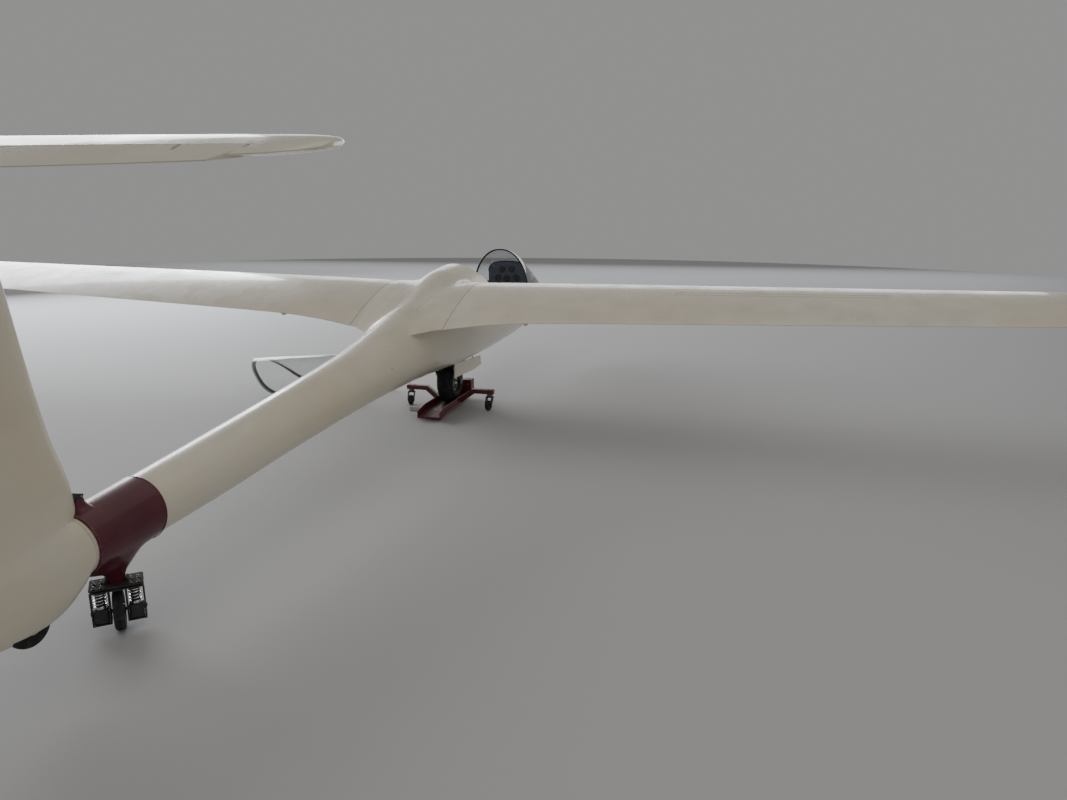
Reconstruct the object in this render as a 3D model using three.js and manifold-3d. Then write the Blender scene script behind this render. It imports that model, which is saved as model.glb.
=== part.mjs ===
import * as THREE from 'three';
import { mergeVertices } from 'three/addons/utils/BufferGeometryUtils.js';
import Module from 'manifold-3d';

// Fifteen metre sailplane glider parked on a main wheel dolly and a tail dolly.
// Millimetres, +Z up, floor at z = 0, nose towards -Y, port wing towards +X.
// A station is the distance forward of the tail dolly's castor, along the fuselage.

const wasm = await Module();
wasm.setup();

// Driving dimensions
const HALF_SPAN = 7500;
const NOSE_STATION = 6140;
const TAIL_STATION = -970;
const TAIL_CASTOR_Y = (NOSE_STATION + TAIL_STATION) / 2;
const GAP = 0.3;                  // between pieces that touch
const RUNNING_GAP = 5;            // between pieces that move
const ROOT_JOINT = 332;           // wing panel meets the fuselage stub, from the centreline

const AFT_END_OF_POD = 1950;      // station where the pod passes into the boom
const AFT_END_OF_BOOM = -172;
const ARCH_STATION = 4890;        // rear edge of the fixed windscreen's arch
const ARCH_WIDTH = 22;
const GLASS = 6;

const WHEEL_STATION = 3535;
const TRAY_DECK = 40;             // top of the dolly's floor plate
const TYRE_RADIUS = 175;
const TYRE_WIDTH = 128;
const AXLE_HEIGHT = TRAY_DECK + GAP + TYRE_RADIUS;

// Colours: [red, green, blue], roughness, metalness
const FINISH = {
  gelcoat: [[0.80, 0.78, 0.71], 0.25, 0],
  clear: [[0.80, 0.86, 0.88], 0.05, 0],
  blackFrame: [[0.03, 0.03, 0.035], 0.45, 0],
  panel: [[0.08, 0.10, 0.14], 0.7, 0],
  dial: [[0.02, 0.02, 0.02], 0.3, 0],
  fabric: [[0.10, 0.10, 0.12], 0.95, 0],
  lining: [[0.55, 0.55, 0.53], 0.8, 0],
  rubber: [[0.025, 0.027, 0.03], 0.85, 0],
  maroon: [[0.10, 0.02, 0.03], 0.3, 0],
  dollySteel: [[0.16, 0.03, 0.04], 0.5, 0.2],
  blackSteel: [[0.02, 0.02, 0.022], 0.45, 0.5],
  bareSteel: [[0.45, 0.45, 0.46], 0.4, 0.9],
  aluminium: [[0.70, 0.71, 0.72], 0.35, 0.9],
};

const glider = new THREE.Group();

// Helpers: places

const yOf = (station) => TAIL_CASTOR_Y - station;
const radians = THREE.MathUtils.degToRad;
const lerp = THREE.MathUtils.lerp;

// Reads a table whose first column rises or falls, with a smooth curve that never overshoots.
function smoothColumn(rows, at, column) {
  const ordered = rows[0][0] < rows[1][0] ? rows : [...rows].reverse();
  const last = ordered.length - 1;
  if (at <= ordered[0][0]) return ordered[0][column];
  if (at >= ordered[last][0]) return ordered[last][column];
  const slopes = [];
  for (let i = 0; i < last; i += 1) {
    slopes.push((ordered[i + 1][column] - ordered[i][column]) / (ordered[i + 1][0] - ordered[i][0]));
  }
  const tangent = (i) => {
    if (i === 0) return slopes[0];
    if (i === last) return slopes[last - 1];
    const [before, after] = [slopes[i - 1], slopes[i]];
    if (before * after <= 0) return 0;
    return (2 * before * after) / (before + after);
  };
  let i = 0;
  while (at > ordered[i + 1][0]) i += 1;
  const step = ordered[i + 1][0] - ordered[i][0];
  const t = (at - ordered[i][0]) / step;
  const [a, b] = [ordered[i][column], ordered[i + 1][column]];
  return a * (1 + 2 * t) * (1 - t) ** 2 + b * t * t * (3 - 2 * t)
    + step * (tangent(i) * t * (1 - t) ** 2 - tangent(i + 1) * t * t * (1 - t));
}

// Helpers: solids

function solidOf(geometry) {
  const bare = geometry.clone();
  bare.deleteAttribute('normal');
  bare.deleteAttribute('uv');
  const merged = mergeVertices(bare, 1e-4);
  const index = merged.index ? merged.index.array : [...Array(merged.attributes.position.count).keys()];
  return new wasm.Manifold(new wasm.Mesh({
    numProp: 3,
    vertProperties: new Float32Array(merged.attributes.position.array),
    triVerts: new Uint32Array(index),
  }));
}

function geometryOf(solid) {
  const mesh = solid.getMesh();
  const geometry = new THREE.BufferGeometry();
  geometry.setAttribute('position', new THREE.BufferAttribute(new Float32Array(mesh.vertProperties), 3));
  geometry.setIndex(new THREE.BufferAttribute(new Uint32Array(mesh.triVerts), 1));
  return geometry;
}

const joined = (...solids) => solids.reduce((sum, solid) => sum.add(solid));
const placed = (geometry, matrix) => solidOf(geometry.clone().applyMatrix4(matrix));

// A closed body through rings of points, each ring given in the same order.
function loft(rings) {
  const count = rings[0].length;
  const points = rings.flat();
  const middle = (ring) => ring.reduce((sum, p) => sum.map((v, k) => v + p[k] / count), [0, 0, 0]);
  const first = points.length;
  points.push(middle(rings[0]), middle(rings[rings.length - 1]));
  const faces = [];
  for (let r = 0; r < rings.length - 1; r += 1) {
    for (let i = 0; i < count; i += 1) {
      const [a, b] = [r * count + i, r * count + ((i + 1) % count)];
      faces.push(a, b, a + count, b, b + count, a + count);
    }
  }
  const lastRing = (rings.length - 1) * count;
  for (let i = 0; i < count; i += 1) {
    faces.push(first, (i + 1) % count, i, first + 1, lastRing + i, lastRing + ((i + 1) % count));
  }
  const geometry = new THREE.BufferGeometry();
  geometry.setAttribute('position', new THREE.BufferAttribute(new Float32Array(points.flat()), 3));
  geometry.setIndex(faces);
  const solid = solidOf(geometry);
  if (solid.volume() > 0) return solid;
  for (let i = 0; i < faces.length; i += 3) [faces[i], faces[i + 1]] = [faces[i + 1], faces[i]];
  geometry.setIndex(faces);
  return solidOf(geometry);
}

function block(x0, x1, y0, y1, z0, z1) {
  const geometry = new THREE.BoxGeometry(Math.abs(x1 - x0), Math.abs(y1 - y0), Math.abs(z1 - z0));
  geometry.translate((x0 + x1) / 2, (y0 + y1) / 2, (z0 + z1) / 2);
  return solidOf(geometry);
}

// A block between two stations, half a width either side of x.
const stationBlock = (x, halfWidth, s0, s1, z0, z1) =>
  block(x - halfWidth, x + halfWidth, yOf(s0), yOf(s1), z0, z1);

// A round bar, or a cone frustum, from one point to another.
function bar(from, to, radius, endRadius = radius, sides = 12) {
  const [a, b] = [new THREE.Vector3(...from), new THREE.Vector3(...to)];
  const along = b.clone().sub(a);
  const geometry = new THREE.CylinderGeometry(endRadius, radius, along.length(), sides);
  const turn = new THREE.Quaternion().setFromUnitVectors(new THREE.Vector3(0, 1, 0), along.clone().normalize());
  const matrix = new THREE.Matrix4().compose(a.add(b).multiplyScalar(0.5), turn, new THREE.Vector3(1, 1, 1));
  return placed(geometry, matrix);
}

// An outline drawn in station and height, extruded across the glider.
function sideProfile(outline, x0, x1) {
  const shape = new THREE.Shape(outline.map(([s, z]) => new THREE.Vector2(s, z)));
  const geometry = new THREE.ExtrudeGeometry(shape, { depth: x1 - x0, bevelEnabled: false });
  const axes = new THREE.Matrix4().makeBasis(
    new THREE.Vector3(0, -1, 0), new THREE.Vector3(0, 0, 1), new THREE.Vector3(-1, 0, 0));
  return placed(geometry, new THREE.Matrix4().makeTranslation(x1, TAIL_CASTOR_Y, 0).multiply(axes));
}

// An outline drawn in x and height, extruded between two stations.
function frontProfile(outline, s0, s1) {
  const shape = new THREE.Shape(outline.map(([x, z]) => new THREE.Vector2(x, z)));
  const geometry = new THREE.ExtrudeGeometry(shape, { depth: s1 - s0, bevelEnabled: false });
  const axes = new THREE.Matrix4().makeBasis(
    new THREE.Vector3(1, 0, 0), new THREE.Vector3(0, 0, 1), new THREE.Vector3(0, -1, 0));
  return placed(geometry, new THREE.Matrix4().makeTranslation(0, yOf(s0), 0).multiply(axes));
}

// An outline drawn in x and station, extruded upwards.
function planProfile(outline, z0, z1) {
  const shape = new THREE.Shape(outline.map(([x, s]) => new THREE.Vector2(x, -s)));
  const geometry = new THREE.ExtrudeGeometry(shape, { depth: z1 - z0, bevelEnabled: false });
  return placed(geometry, new THREE.Matrix4().makeTranslation(0, TAIL_CASTOR_Y, z0));
}

// A closed profile of [radius, offset] turned about the x axis through a centre.
function turned(profile, centre, segments) {
  const points = [...profile, profile[0]].map(([radius, offset]) => new THREE.Vector2(radius, offset));
  const geometry = new THREE.LatheGeometry(points, segments);
  const matrix = new THREE.Matrix4().makeTranslation(...centre).multiply(new THREE.Matrix4().makeRotationZ(-Math.PI / 2));
  const solid = placed(geometry, matrix);
  if (solid.volume() > 0) return solid;
  geometry.index.array.reverse();
  return placed(geometry, matrix);
}

function add(name, solid, finish, parent = glider) {
  const [colour, roughness, metalness] = FINISH[finish];
  const material = new THREE.MeshStandardMaterial({ color: new THREE.Color(...colour), roughness, metalness });
  const geometry = solid.isBufferGeometry ? solid : geometryOf(solid);
  const mesh = new THREE.Mesh(geometry, material);
  mesh.name = name;
  parent.add(mesh);
  return mesh;
}

// Fuselage outline

// Columns: station, bottom, widest height, top, half width, top power, bottom power.
// The top runs on over the cockpit as the canopy's own outline.
const BODY = [
  [6140, 612, 620, 628, 7, 2, 2],
  [6105, 556, 622, 684, 56, 2, 2],
  [6000, 498, 630, 752, 110, 2, 2],
  [5800, 444, 644, 836, 168, 2, 2],
  [5500, 402, 668, 958, 218, 2.1, 2],
  [5200, 376, 690, 1074, 251, 2.1, 2],
  [4890, 360, 706, 1166, 274, 2.2, 2],
  [4500, 348, 716, 1180, 280, 2.2, 2],
  [4100, 340, 720, 1156, 278, 2.2, 2],
  [3710, 342, 716, 1122, 270, 2.1, 2.05],
  [3400, 352, 704, 1090, 262, 2.1, 2.1],
  [3190, 363, 688, 1040, 252, 2.05, 2.05],
  [2900, 378, 656, 942, 234, 2, 2],
  [2600, 389, 626, 862, 216, 2, 2],
  [2300, 390, 592, 794, 195, 2, 2],
  [1950, 384, 557, 730, 173, 2, 2],
  [1200, 351, 499, 646, 147.5, 2, 2],
  [500, 309, 443, 576, 133, 2, 2],
  [-172, 283, 397, 512, 115, 2, 2],
];
const BODY_SIDES = 32;

// A ring of the section at a station; its top and bottom halves have their own fullness.
function sectionRing(station, [bottom, wide, top, half, topPower, bottomPower], inset, sides) {
  const ring = [];
  for (let i = 0; i < sides; i += 1) {
    const angle = (2 * Math.PI * i) / sides;
    const [c, s] = [Math.cos(angle), Math.sin(angle)];
    const power = s >= 0 ? topPower : bottomPower;
    const reach = s >= 0 ? top - inset - wide : wide - bottom - inset;
    const x = Math.sign(c) * Math.abs(c) ** (2 / power) * (half - inset);
    const z = wide + Math.sign(s) * Math.abs(s) ** (2 / power) * reach;
    ring.push([x, yOf(station), z]);
  }
  return ring;
}

function bodyRing(station, inset = 0) {
  const row = [1, 2, 3, 4, 5, 6].map((column) => smoothColumn(BODY, station, column));
  return sectionRing(station, row, inset, BODY_SIDES);
}

function bodyBetween(stations, inset = 0) {
  return loft(stations.map((station) => bodyRing(station, inset)));
}

const steps = (from, to, count) => Array.from({ length: count + 1 }, (_, i) => lerp(from, to, i / count));
const NOSE_STATIONS = [6140, 6125, 6100, 6060, 6000, 5900];
const POD_STATIONS = [...NOSE_STATIONS, ...steps(5780, 4900, 6), ...steps(4760, 3100, 10),
  ...steps(2950, AFT_END_OF_POD, 5)];

// Wings

// A cambered aerofoil ring: x runs from 0 at the nose to 1 at the tail, both as parts of the chord.
const FOIL_STEPS = 11;
const TAIL_THICKNESS = 3;

function foilAt(x, thickness) {
  const half = 5 * thickness * (0.2969 * Math.sqrt(x) - 0.126 * x - 0.3516 * x ** 2 + 0.2843 * x ** 3
    - 0.1036 * x ** 4);
  return half;
}

function camberAt(x, camber) {
  const peak = 0.42;
  if (x < peak) return (camber / peak ** 2) * (2 * peak * x - x * x);
  return (camber / (1 - peak) ** 2) * (1 - 2 * peak + 2 * peak * x - x * x);
}

// Ring of [x along chord, height], in millimetres, from the tail over the top and back below.
function foilRing(chord, thickness, camber, grow = 0, foilSteps = FOIL_STEPS) {
  const ring = [];
  for (let i = 0; i <= foilSteps; i += 1) {
    const x = (1 + Math.cos((Math.PI * i) / foilSteps)) / 2;
    ring.push([x * chord, (camberAt(x, camber) + foilAt(x, thickness)) * chord + (TAIL_THICKNESS / 2) * x + grow]);
  }
  for (let i = foilSteps - 1; i >= 0; i -= 1) {
    const x = (1 + Math.cos((Math.PI * i) / foilSteps)) / 2;
    ring.push([x * chord, (camberAt(x, camber) - foilAt(x, thickness)) * chord - (TAIL_THICKNESS / 2) * x - grow]);
  }
  return ring;
}

// Columns: distance from centreline, leading edge station, chord, leading edge height, incidence, thickness.
const WING = [
  [ROOT_JOINT, 3502, 952, 950, 10.4, 0.17],
  [600, 3502, 915, 955, 8.9, 0.168],
  [860, 3502, 898, 959, 7.9, 0.165],
  [1450, 3500, 873, 969, 7.4, 0.162],
  [4300, 3478, 700, 1019, 6.8, 0.15],
  [6600, 3425, 500, 1060, 6.2, 0.138],
  [7250, 3395, 415, 1071, 6.0, 0.132],
  [7420, 3374, 345, 1074, 6.0, 0.13],
  [HALF_SPAN, 3330, 215, 1076, 6.0, 0.11],
];
const WING_CAMBER = 0.03;

function wingRow(span) {
  return [1, 2, 3, 4, 5].map((column) => smoothColumn(WING, span, column));
}

// One ring of the wing; side is 1 to port and -1 to starboard.
function wingRing(side, span, grow = 0) {
  const [nose, chord, height, incidence, thickness] = wingRow(span);
  const [c, s] = [Math.cos(radians(incidence)), Math.sin(radians(incidence))];
  return foilRing(chord, thickness, WING_CAMBER, grow)
    .map(([x, z]) => [side * span, yOf(nose - x * c - z * s), height - x * s + z * c]);
}

const AILERON = { inner: 4350, outer: 7150, chordPart: 0.2, lugs: [4500, 5750, 6980] };
const LUG = { half: 4, pin: 3.5, pinHalf: 16, side: 2.5, play: 0.5, pinSides: 8, notchSides: 12 };

// Hinge of the aileron at a distance along the span: station, height and nose radius.
function aileronHinge(span) {
  const [nose, chord, height, incidence, thickness] = wingRow(span);
  const part = 1 - AILERON.chordPart;
  const along = part * chord;
  const lift = camberAt(part, WING_CAMBER) * chord;
  const [c, s] = [Math.cos(radians(incidence)), Math.sin(radians(incidence))];
  return {
    station: nose - along * c - lift * s,
    height: height - along * s + lift * c,
    radius: foilAt(part, thickness) * chord + 0.5,
  };
}

// The aileron turns about one straight line between its two ends.
const AILERON_ENDS = [AILERON.inner + RUNNING_GAP, AILERON.outer - RUNNING_GAP];

function aileronAxis(span) {
  const [start, end] = AILERON_ENDS.map(aileronHinge);
  const along = (span - AILERON_ENDS[0]) / (AILERON_ENDS[1] - AILERON_ENDS[0]);
  return {
    station: lerp(start.station, end.station, along),
    height: lerp(start.height, end.height, along),
    radius: lerp(start.radius, end.radius, along),
  };
}

function wingSolids(side) {
  const spans = [ROOT_JOINT + GAP, 470, 600, 860, 1450, 2400, 3350, 4300, 5200, 6000, 6600, 7000, 7250, 7370,
    7450, 7485, HALF_SPAN];
  const whole = loft(spans.map((span) => wingRing(side, span)));
  const behind = (from, to, shift) => planProfile([
    [side * from, aileronAxis(from).station + shift(from)],
    [side * to, aileronAxis(to).station + shift(to)],
    [side * to, 2000],
    [side * from, 2000],
  ], 700, 1400);
  const axisPoint = (span) => [side * span, yOf(aileronAxis(span).station), aileronAxis(span).height];
  const [first, last] = AILERON_ENDS;
  const bay = behind(AILERON.inner, AILERON.outer, (span) => aileronAxis(span).radius + RUNNING_GAP + 1.5);
  const flap = behind(first, last, () => 0);
  const noseBar = bar(axisPoint(first), axisPoint(last), aileronAxis(first).radius, aileronAxis(last).radius, 16);
  let panel = whole.subtract(bay);
  let aileron = whole.intersect(flap).add(noseBar);
  // Each lug reaches back from the wing's rear wall and holds a pin that the aileron turns on.
  for (const span of AILERON.lugs) {
    const hinge = aileronAxis(span);
    const alongHinge = (reach) => [axisPoint(span - reach), axisPoint(span + reach)];
    const arm = stationBlock(side * span, LUG.half, hinge.station + hinge.radius + RUNNING_GAP + 8,
      hinge.station - 7, hinge.height - 7, hinge.height + 7);
    const pin = bar(...alongHinge(LUG.pinHalf), LUG.pin, LUG.pin, LUG.pinSides);
    const notchRadius = hinge.radius + 3;
    const notch = bar(...alongHinge(LUG.half + LUG.side), notchRadius, notchRadius, LUG.notchSides);
    const hole = bar(...alongHinge(LUG.pinHalf + 1), LUG.pin + LUG.play, LUG.pin + LUG.play, LUG.pinSides);
    panel = panel.add(arm).add(pin);
    aileron = aileron.subtract(notch).subtract(hole);
  }
  return { panel, aileron };
}

for (const [label, side] of [['port', 1], ['starboard', -1]]) {
  const { panel, aileron } = wingSolids(side);
  add(`wing_${label}`, panel, 'gelcoat');
  add(`aileron_${label}`, aileron, 'gelcoat');
}

// Fuselage pod

// Columns: distance from centreline, how far the section grows beyond the wing root.
const STUB = [
  [ROOT_JOINT, 0, 0],
  [305, 6, 0.5],
  [275, 22, 0],
  [240, 50, -3],
  [195, 85, -8],
  [150, 120, -12],
  [90, 120, -14],
  [30, 120, -26],
];

function stubRing(side, [span, flare, swell]) {
  const [nose, chord, height, incidence, thickness] = wingRow(ROOT_JOINT);
  const [c, s] = [Math.cos(radians(incidence)), Math.sin(radians(incidence))];
  const longer = chord + flare * 1.25;
  return foilRing(longer, thickness + (2 * swell) / longer, WING_CAMBER)
    .map(([x, z]) => [side * span, yOf(nose + flare * 0.25 - x * c - z * s), height - x * s + z * c]);
}

const SILL = { rearStation: 4000, rearHeight: 858, frontStation: 5900, frontHeight: 798 };
const sillHeight = (station) => lerp(SILL.rearHeight, SILL.frontHeight,
  (station - SILL.rearStation) / (SILL.frontStation - SILL.rearStation));
const REAR_RIM = { topStation: 3580, topHeight: 1200, footStation: 3960, cornerRadius: 130 };

// Side view of the cockpit opening: raked at the back, round in its corner, along the sill to the nose.
function openingOutline(shrink = 0) {
  const foot = [REAR_RIM.footStation + shrink, sillHeight(REAR_RIM.footStation) + shrink];
  const up = new THREE.Vector2(REAR_RIM.topStation - REAR_RIM.footStation, REAR_RIM.topHeight - foot[1]).normalize();
  const ahead = new THREE.Vector2(1, sillHeight(1) - sillHeight(0)).normalize();
  const corner = new THREE.Vector2(...foot);
  const curve = new THREE.QuadraticBezierCurve(
    corner.clone().addScaledVector(up, REAR_RIM.cornerRadius), corner,
    corner.clone().addScaledVector(ahead, REAR_RIM.cornerRadius));
  const topStation = corner.x + up.x * ((1400 - corner.y) / up.y);
  return [
    [topStation, 1400],
    ...curve.getPoints(5).map((p) => [p.x, p.y]),
    [6300, sillHeight(6300) + shrink],
    [6300, 1400],
  ];
}

const CABIN = { rear: 3985, front: 5860, wall: 22 };
const SHELF = { rear: 3600, front: 4020, floor: 690 };   // open luggage space behind the seat
const BAY = { rear: 3225, front: 3925, half: 106, roof: 590 };

function podSolid() {
  const outer = bodyBetween(POD_STATIONS);
  const stubs = [1, -1].map((side) => loft(STUB.map((row) => stubRing(side, row))));
  const cabin = bodyBetween([CABIN.rear, ...steps(4200, 5700, 9), CABIN.front], CABIN.wall);
  const opening = sideProfile(openingOutline(), -450, 450);
  const shelf = bodyBetween(steps(SHELF.rear, SHELF.front, 5), CABIN.wall)
    .intersect(stationBlock(0, 400, SHELF.rear, SHELF.front, SHELF.floor, 1400));
  const bay = stationBlock(0, BAY.half, BAY.rear, BAY.front, 200, BAY.roof);
  return joined(outer, ...stubs).subtract(opening).subtract(cabin.add(shelf)).subtract(bay);
}

add('fuselage_pod', podSolid(), 'gelcoat');
add('tail_boom', bodyBetween([AFT_END_OF_POD - GAP, 1600, 1200, 800, 500, 150, AFT_END_OF_BOOM]), 'gelcoat');

// Windscreen and its arch

function canopyShell(stations, thickness) {
  return bodyBetween(stations).subtract(bodyBetween(stations, thickness));
}

const windscreenStations = [6140, 6100, 6060, 6000, 5900, 5780, 5640, 5500, 5350, 5200, 5050, ARCH_STATION + GAP];
const aboveSill = sideProfile(openingOutline(GAP), -450, 450);
add('windscreen', canopyShell(windscreenStations, GLASS).intersect(aboveSill), 'clear');
const archStations = [ARCH_STATION, ARCH_STATION - ARCH_WIDTH];
add('windscreen_arch', canopyShell(archStations, 2 * GLASS).intersect(aboveSill), 'blackFrame');

// Removed rear canopy, laid across the floor under the port wing, its front end towards the fuselage

const LAID_CANOPY = { x: 1135, station: 3705, turn: -93.4, frame: 14, rail: 24, pivot: 4430, back: 3450 };

function laidCanopy() {
  const front = ARCH_STATION - ARCH_WIDTH - 4;
  const stations = [front, ...steps(4750, 3550, 8)];
  const slope = Math.atan2(SILL.rearHeight - SILL.frontHeight, SILL.frontStation - SILL.rearStation);
  const { pivot, back, frame, rail } = LAID_CANOPY;
  const lay = new THREE.Matrix4().makeTranslation(LAID_CANOPY.x, yOf(LAID_CANOPY.station), 0)
    .multiply(new THREE.Matrix4().makeRotationZ(radians(LAID_CANOPY.turn)))
    .multiply(new THREE.Matrix4().makeRotationX(-slope))
    .multiply(new THREE.Matrix4().makeTranslation(0, -yOf(pivot), -sillHeight(pivot)));
  const whole = bodyBetween(stations).intersect(sideProfile(openingOutline(), -450, 450));
  const hollow = (inset) => bodyBetween([ARCH_STATION + 50, ...stations.slice(1), back], inset);
  const within = (margin) => sideProfile(openingOutline(margin), -450, 450)
    .intersect(stationBlock(0, 450, back, front - margin, 700, 1400));
  const glass = whole.subtract(hollow(GLASS)).intersect(within(rail + GAP));
  const hoop = whole.subtract(hollow(frame)).subtract(within(rail));
  return { glass: geometryOf(glass).applyMatrix4(lay), frame: geometryOf(hoop).applyMatrix4(lay) };
}

const laid = laidCanopy();
add('rear_canopy_glass', laid.glass, 'clear');
add('rear_canopy_frame', laid.frame, 'blackFrame');

// Cockpit

const cabinSpace = bodyBetween([CABIN.rear, ...steps(4200, 5700, 9), CABIN.front], CABIN.wall + GAP);
const PANEL = { station: 5107, thickness: 24, half: 195, top: 1041, foot: 300, corner: 95 };

function panelOutline(shrink) {
  const half = PANEL.half - shrink;
  const shape = new THREE.Shape();
  shape.moveTo(-70, PANEL.foot);
  shape.lineTo(70, PANEL.foot);
  shape.lineTo(95, 740);
  shape.lineTo(half, 830);
  shape.lineTo(half, PANEL.top - PANEL.corner);
  shape.quadraticCurveTo(half, PANEL.top - 20, half - PANEL.corner, PANEL.top - 8);
  shape.quadraticCurveTo(0, PANEL.top + 8, -half + PANEL.corner, PANEL.top - 8);
  shape.quadraticCurveTo(-half, PANEL.top - 20, -half, PANEL.top - PANEL.corner);
  shape.lineTo(-half, 830);
  shape.lineTo(-95, 740);
  return shape.getPoints(6).slice(0, -1).map((p) => [p.x, p.y]);
}

const underGlass = bodyBetween([5040, ...steps(5150, 5700, 5), 5800], GLASS + 3);
const cabinAndGlass = cabinSpace.add(stationBlock(0, 400, 5000, 5900, 850, 1300));
add('instrument_panel', frontProfile(panelOutline(0), PANEL.station, PANEL.station + PANEL.thickness)
  .intersect(underGlass).intersect(cabinAndGlass), 'panel');

function glareShield() {
  const ringAt = (station, scale, rise) => panelOutline(2).map(([x, z]) =>
    [x * scale, yOf(station), Math.max(700, PANEL.top - (PANEL.top - z) * scale - rise)]);
  return loft([ringAt(PANEL.station + PANEL.thickness + GAP, 1, 0), ringAt(5330, 0.86, 60), ringAt(5560, 0.6, 150)])
    .intersect(underGlass).intersect(sideProfile([[5000, 780], [5900, 755], [5900, 1200], [5000, 1200]], -400, 400));
}

add('glare_shield', glareShield(), 'panel');

// Columns: x, height, radius.
const DIALS = [
  [98, 880, 38], [8, 872, 40], [-88, 884, 38], [52, 962, 30], [-40, 965, 30],
];
const DIAL_BOARD = { half: 150, bottom: 836, top: 1000, thickness: 3 };

// The round dials stand proud of the board that carries them.
function instrumentDials() {
  const face = PANEL.station - GAP - DIAL_BOARD.thickness;
  const board = stationBlock(0, DIAL_BOARD.half, face, face + DIAL_BOARD.thickness, DIAL_BOARD.bottom, DIAL_BOARD.top);
  const dials = DIALS.map(([x, height, radius]) =>
    bar([x, yOf(face + 1), height], [x, yOf(face - 5), height], radius, radius, 20));
  return joined(board, ...dials);
}

add('instrument_dials', instrumentDials(), 'dial');

// Side view of the reclined seat: station and height along its upper face.
const SEAT = [[4930, 540], [4820, 521], [4640, 435], [4480, 407], [4340, 411], [4230, 470], [4130, 620], [4030, 840]];

function seatSheet(line, below, above, half) {
  const outline = [...line.map(([s, z]) => [s + above * 0.4, z + above]),
    ...[...line].reverse().map(([s, z]) => [s - below * 0.4, z - below])];
  return sideProfile(outline, -half, half).intersect(cabinSpace);
}

add('seat_pan', seatSheet(SEAT, 12, 0, 215), 'lining');
add('seat_cushion', seatSheet(SEAT.slice(1, 5), -GAP, 34, 150), 'fabric');
add('back_cushion', seatSheet(SEAT.slice(5), -GAP, 36, 165), 'fabric');

function controlStick() {
  const shaft = bar([0, yOf(4965), 300], [0, yOf(4950), 640], 11);
  const boot = bar([0, yOf(4965), 300], [0, yOf(4962), 450], 42, 20);
  const grip = bar([0, yOf(4950), 638], [0, yOf(4930), 750], 17, 20);
  return joined(shaft, boot, grip).intersect(cabinSpace);
}

add('control_stick', controlStick(), 'blackSteel');

const PEDAL = { station: 5480, x: 78, halfWidth: 42, bottom: 505, top: 620 };

function pedals() {
  const plates = [1, -1].map((side) => stationBlock(side * PEDAL.x, PEDAL.halfWidth, PEDAL.station,
    PEDAL.station + 12, PEDAL.bottom, PEDAL.top));
  const rodAt = (x) => [x, yOf(PEDAL.station + 6), PEDAL.bottom + 25];
  const rod = bar(rodAt(-300), rodAt(300), 10);
  return joined(rod, ...plates).intersect(cabinSpace);
}

add('rudder_pedals', pedals(), 'aluminium');

// Tail: aft fuselage with its wheel fairing, fin and rudder

// The tail dolly's collar grips the end of the boom, under the front of the fin.
const COLLAR = { rear: -160, front: 170, thickness: 7, neckBottom: 186, neckStation: 12 };

// Columns as in the fuselage outline.
const AFT_BODY = [
  [AFT_END_OF_BOOM - GAP, 283, 397, 512, 114, 1.9, 2],
  [-190, 250, 390, 514, 108, 1.8, 2],
  [-215, 220, 384, 517, 101, 1.7, 2],
  [-250, 193, 378, 520, 94, 1.7, 2],
  [-300, 175, 372, 524, 86, 1.7, 2],
  [-380, 167, 370, 528, 74, 1.8, 2],
  [-460, 171, 373, 530, 64, 1.9, 2],
  [-560, 188, 380, 530, 55, 2, 2],
  [-660, 216, 390, 530, 46, 2, 2],
  [-820, 268, 410, 530, 30, 2, 2],
  [-930, 302, 424, 530, 14, 2, 2],
  [TAIL_STATION, 318, 436, 530, 4, 2, 2],
];
const AFT_SIDES = 28;

// Columns: height, leading edge station, trailing edge station, thickness over the chord.
const FIN = [
  [430, -128, TAIL_STATION, 0.115],
  [540, -131, TAIL_STATION, 0.12],
  [620, -139, -968, 0.125],
  [825, -196, -962, 0.13],
  [1344, -282, -945, 0.13],
  [1745, -347, -932, 0.125],
];

const aftBodySolid = () => loft(AFT_BODY.map(([station, ...row]) => sectionRing(station, row, 0, AFT_SIDES)));

function finSolid() {
  return loft(steps(430, 1745, 8).map((height) => {
    const [nose, tail, thickness] = [1, 2, 3].map((column) => smoothColumn(FIN, height, column));
    return foilRing(nose - tail, thickness, 0).map(([x, z]) => [z, yOf(nose - x), height]);
  }));
}

const RUDDER = { hinge: -662, bottom: 262, top: 1618, radius: 31, lugs: [330, 930, 1540] };
const STAB = { nose: -250, chord: 500, height: 1763, incidence: 9, tipNose: -335, tipChord: 330, half: 1285 };
const ELEVATOR = { part: 0.7, droop: 8, end: 1130, lugs: [-950, -330, 330, 950] };

// Columns: distance from centreline, leading edge station, chord.
const STAB_ROWS = [
  [0, STAB.nose, STAB.chord],
  [1130, -330, 345],
  [1210, -345, 300],
  [1262, -372, 225],
  [STAB.half, -415, 110],
];

function stabRing(x, grow = 0) {
  const [nose, chord] = [1, 2].map((column) => smoothColumn(STAB_ROWS, Math.abs(x), column));
  const [c, s] = [Math.cos(radians(STAB.incidence)), Math.sin(radians(STAB.incidence))];
  const drop = (STAB.nose - nose) * Math.tan(radians(STAB.incidence));
  return foilRing(chord, 0.12, 0, grow).map(([along, z]) =>
    [x, yOf(nose - along * c - z * s), STAB.height - drop - along * s + z * c]);
}

const STAB_SPANS = [-1285, -1262, -1240, -1210, -1130, -600, 0, 600, 1130, 1210, 1240, 1262, 1285];
const stabSolid = (grow) => loft(STAB_SPANS.map((x) => stabRing(x, grow)));

// The elevator turns about a straight line across the tail.
const hingeStation = STAB.nose - ELEVATOR.part * STAB.chord * Math.cos(radians(STAB.incidence));
const hingeHeight = STAB.height - ELEVATOR.part * STAB.chord * Math.sin(radians(STAB.incidence));
const ELEVATOR_NOSE = 20;

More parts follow.
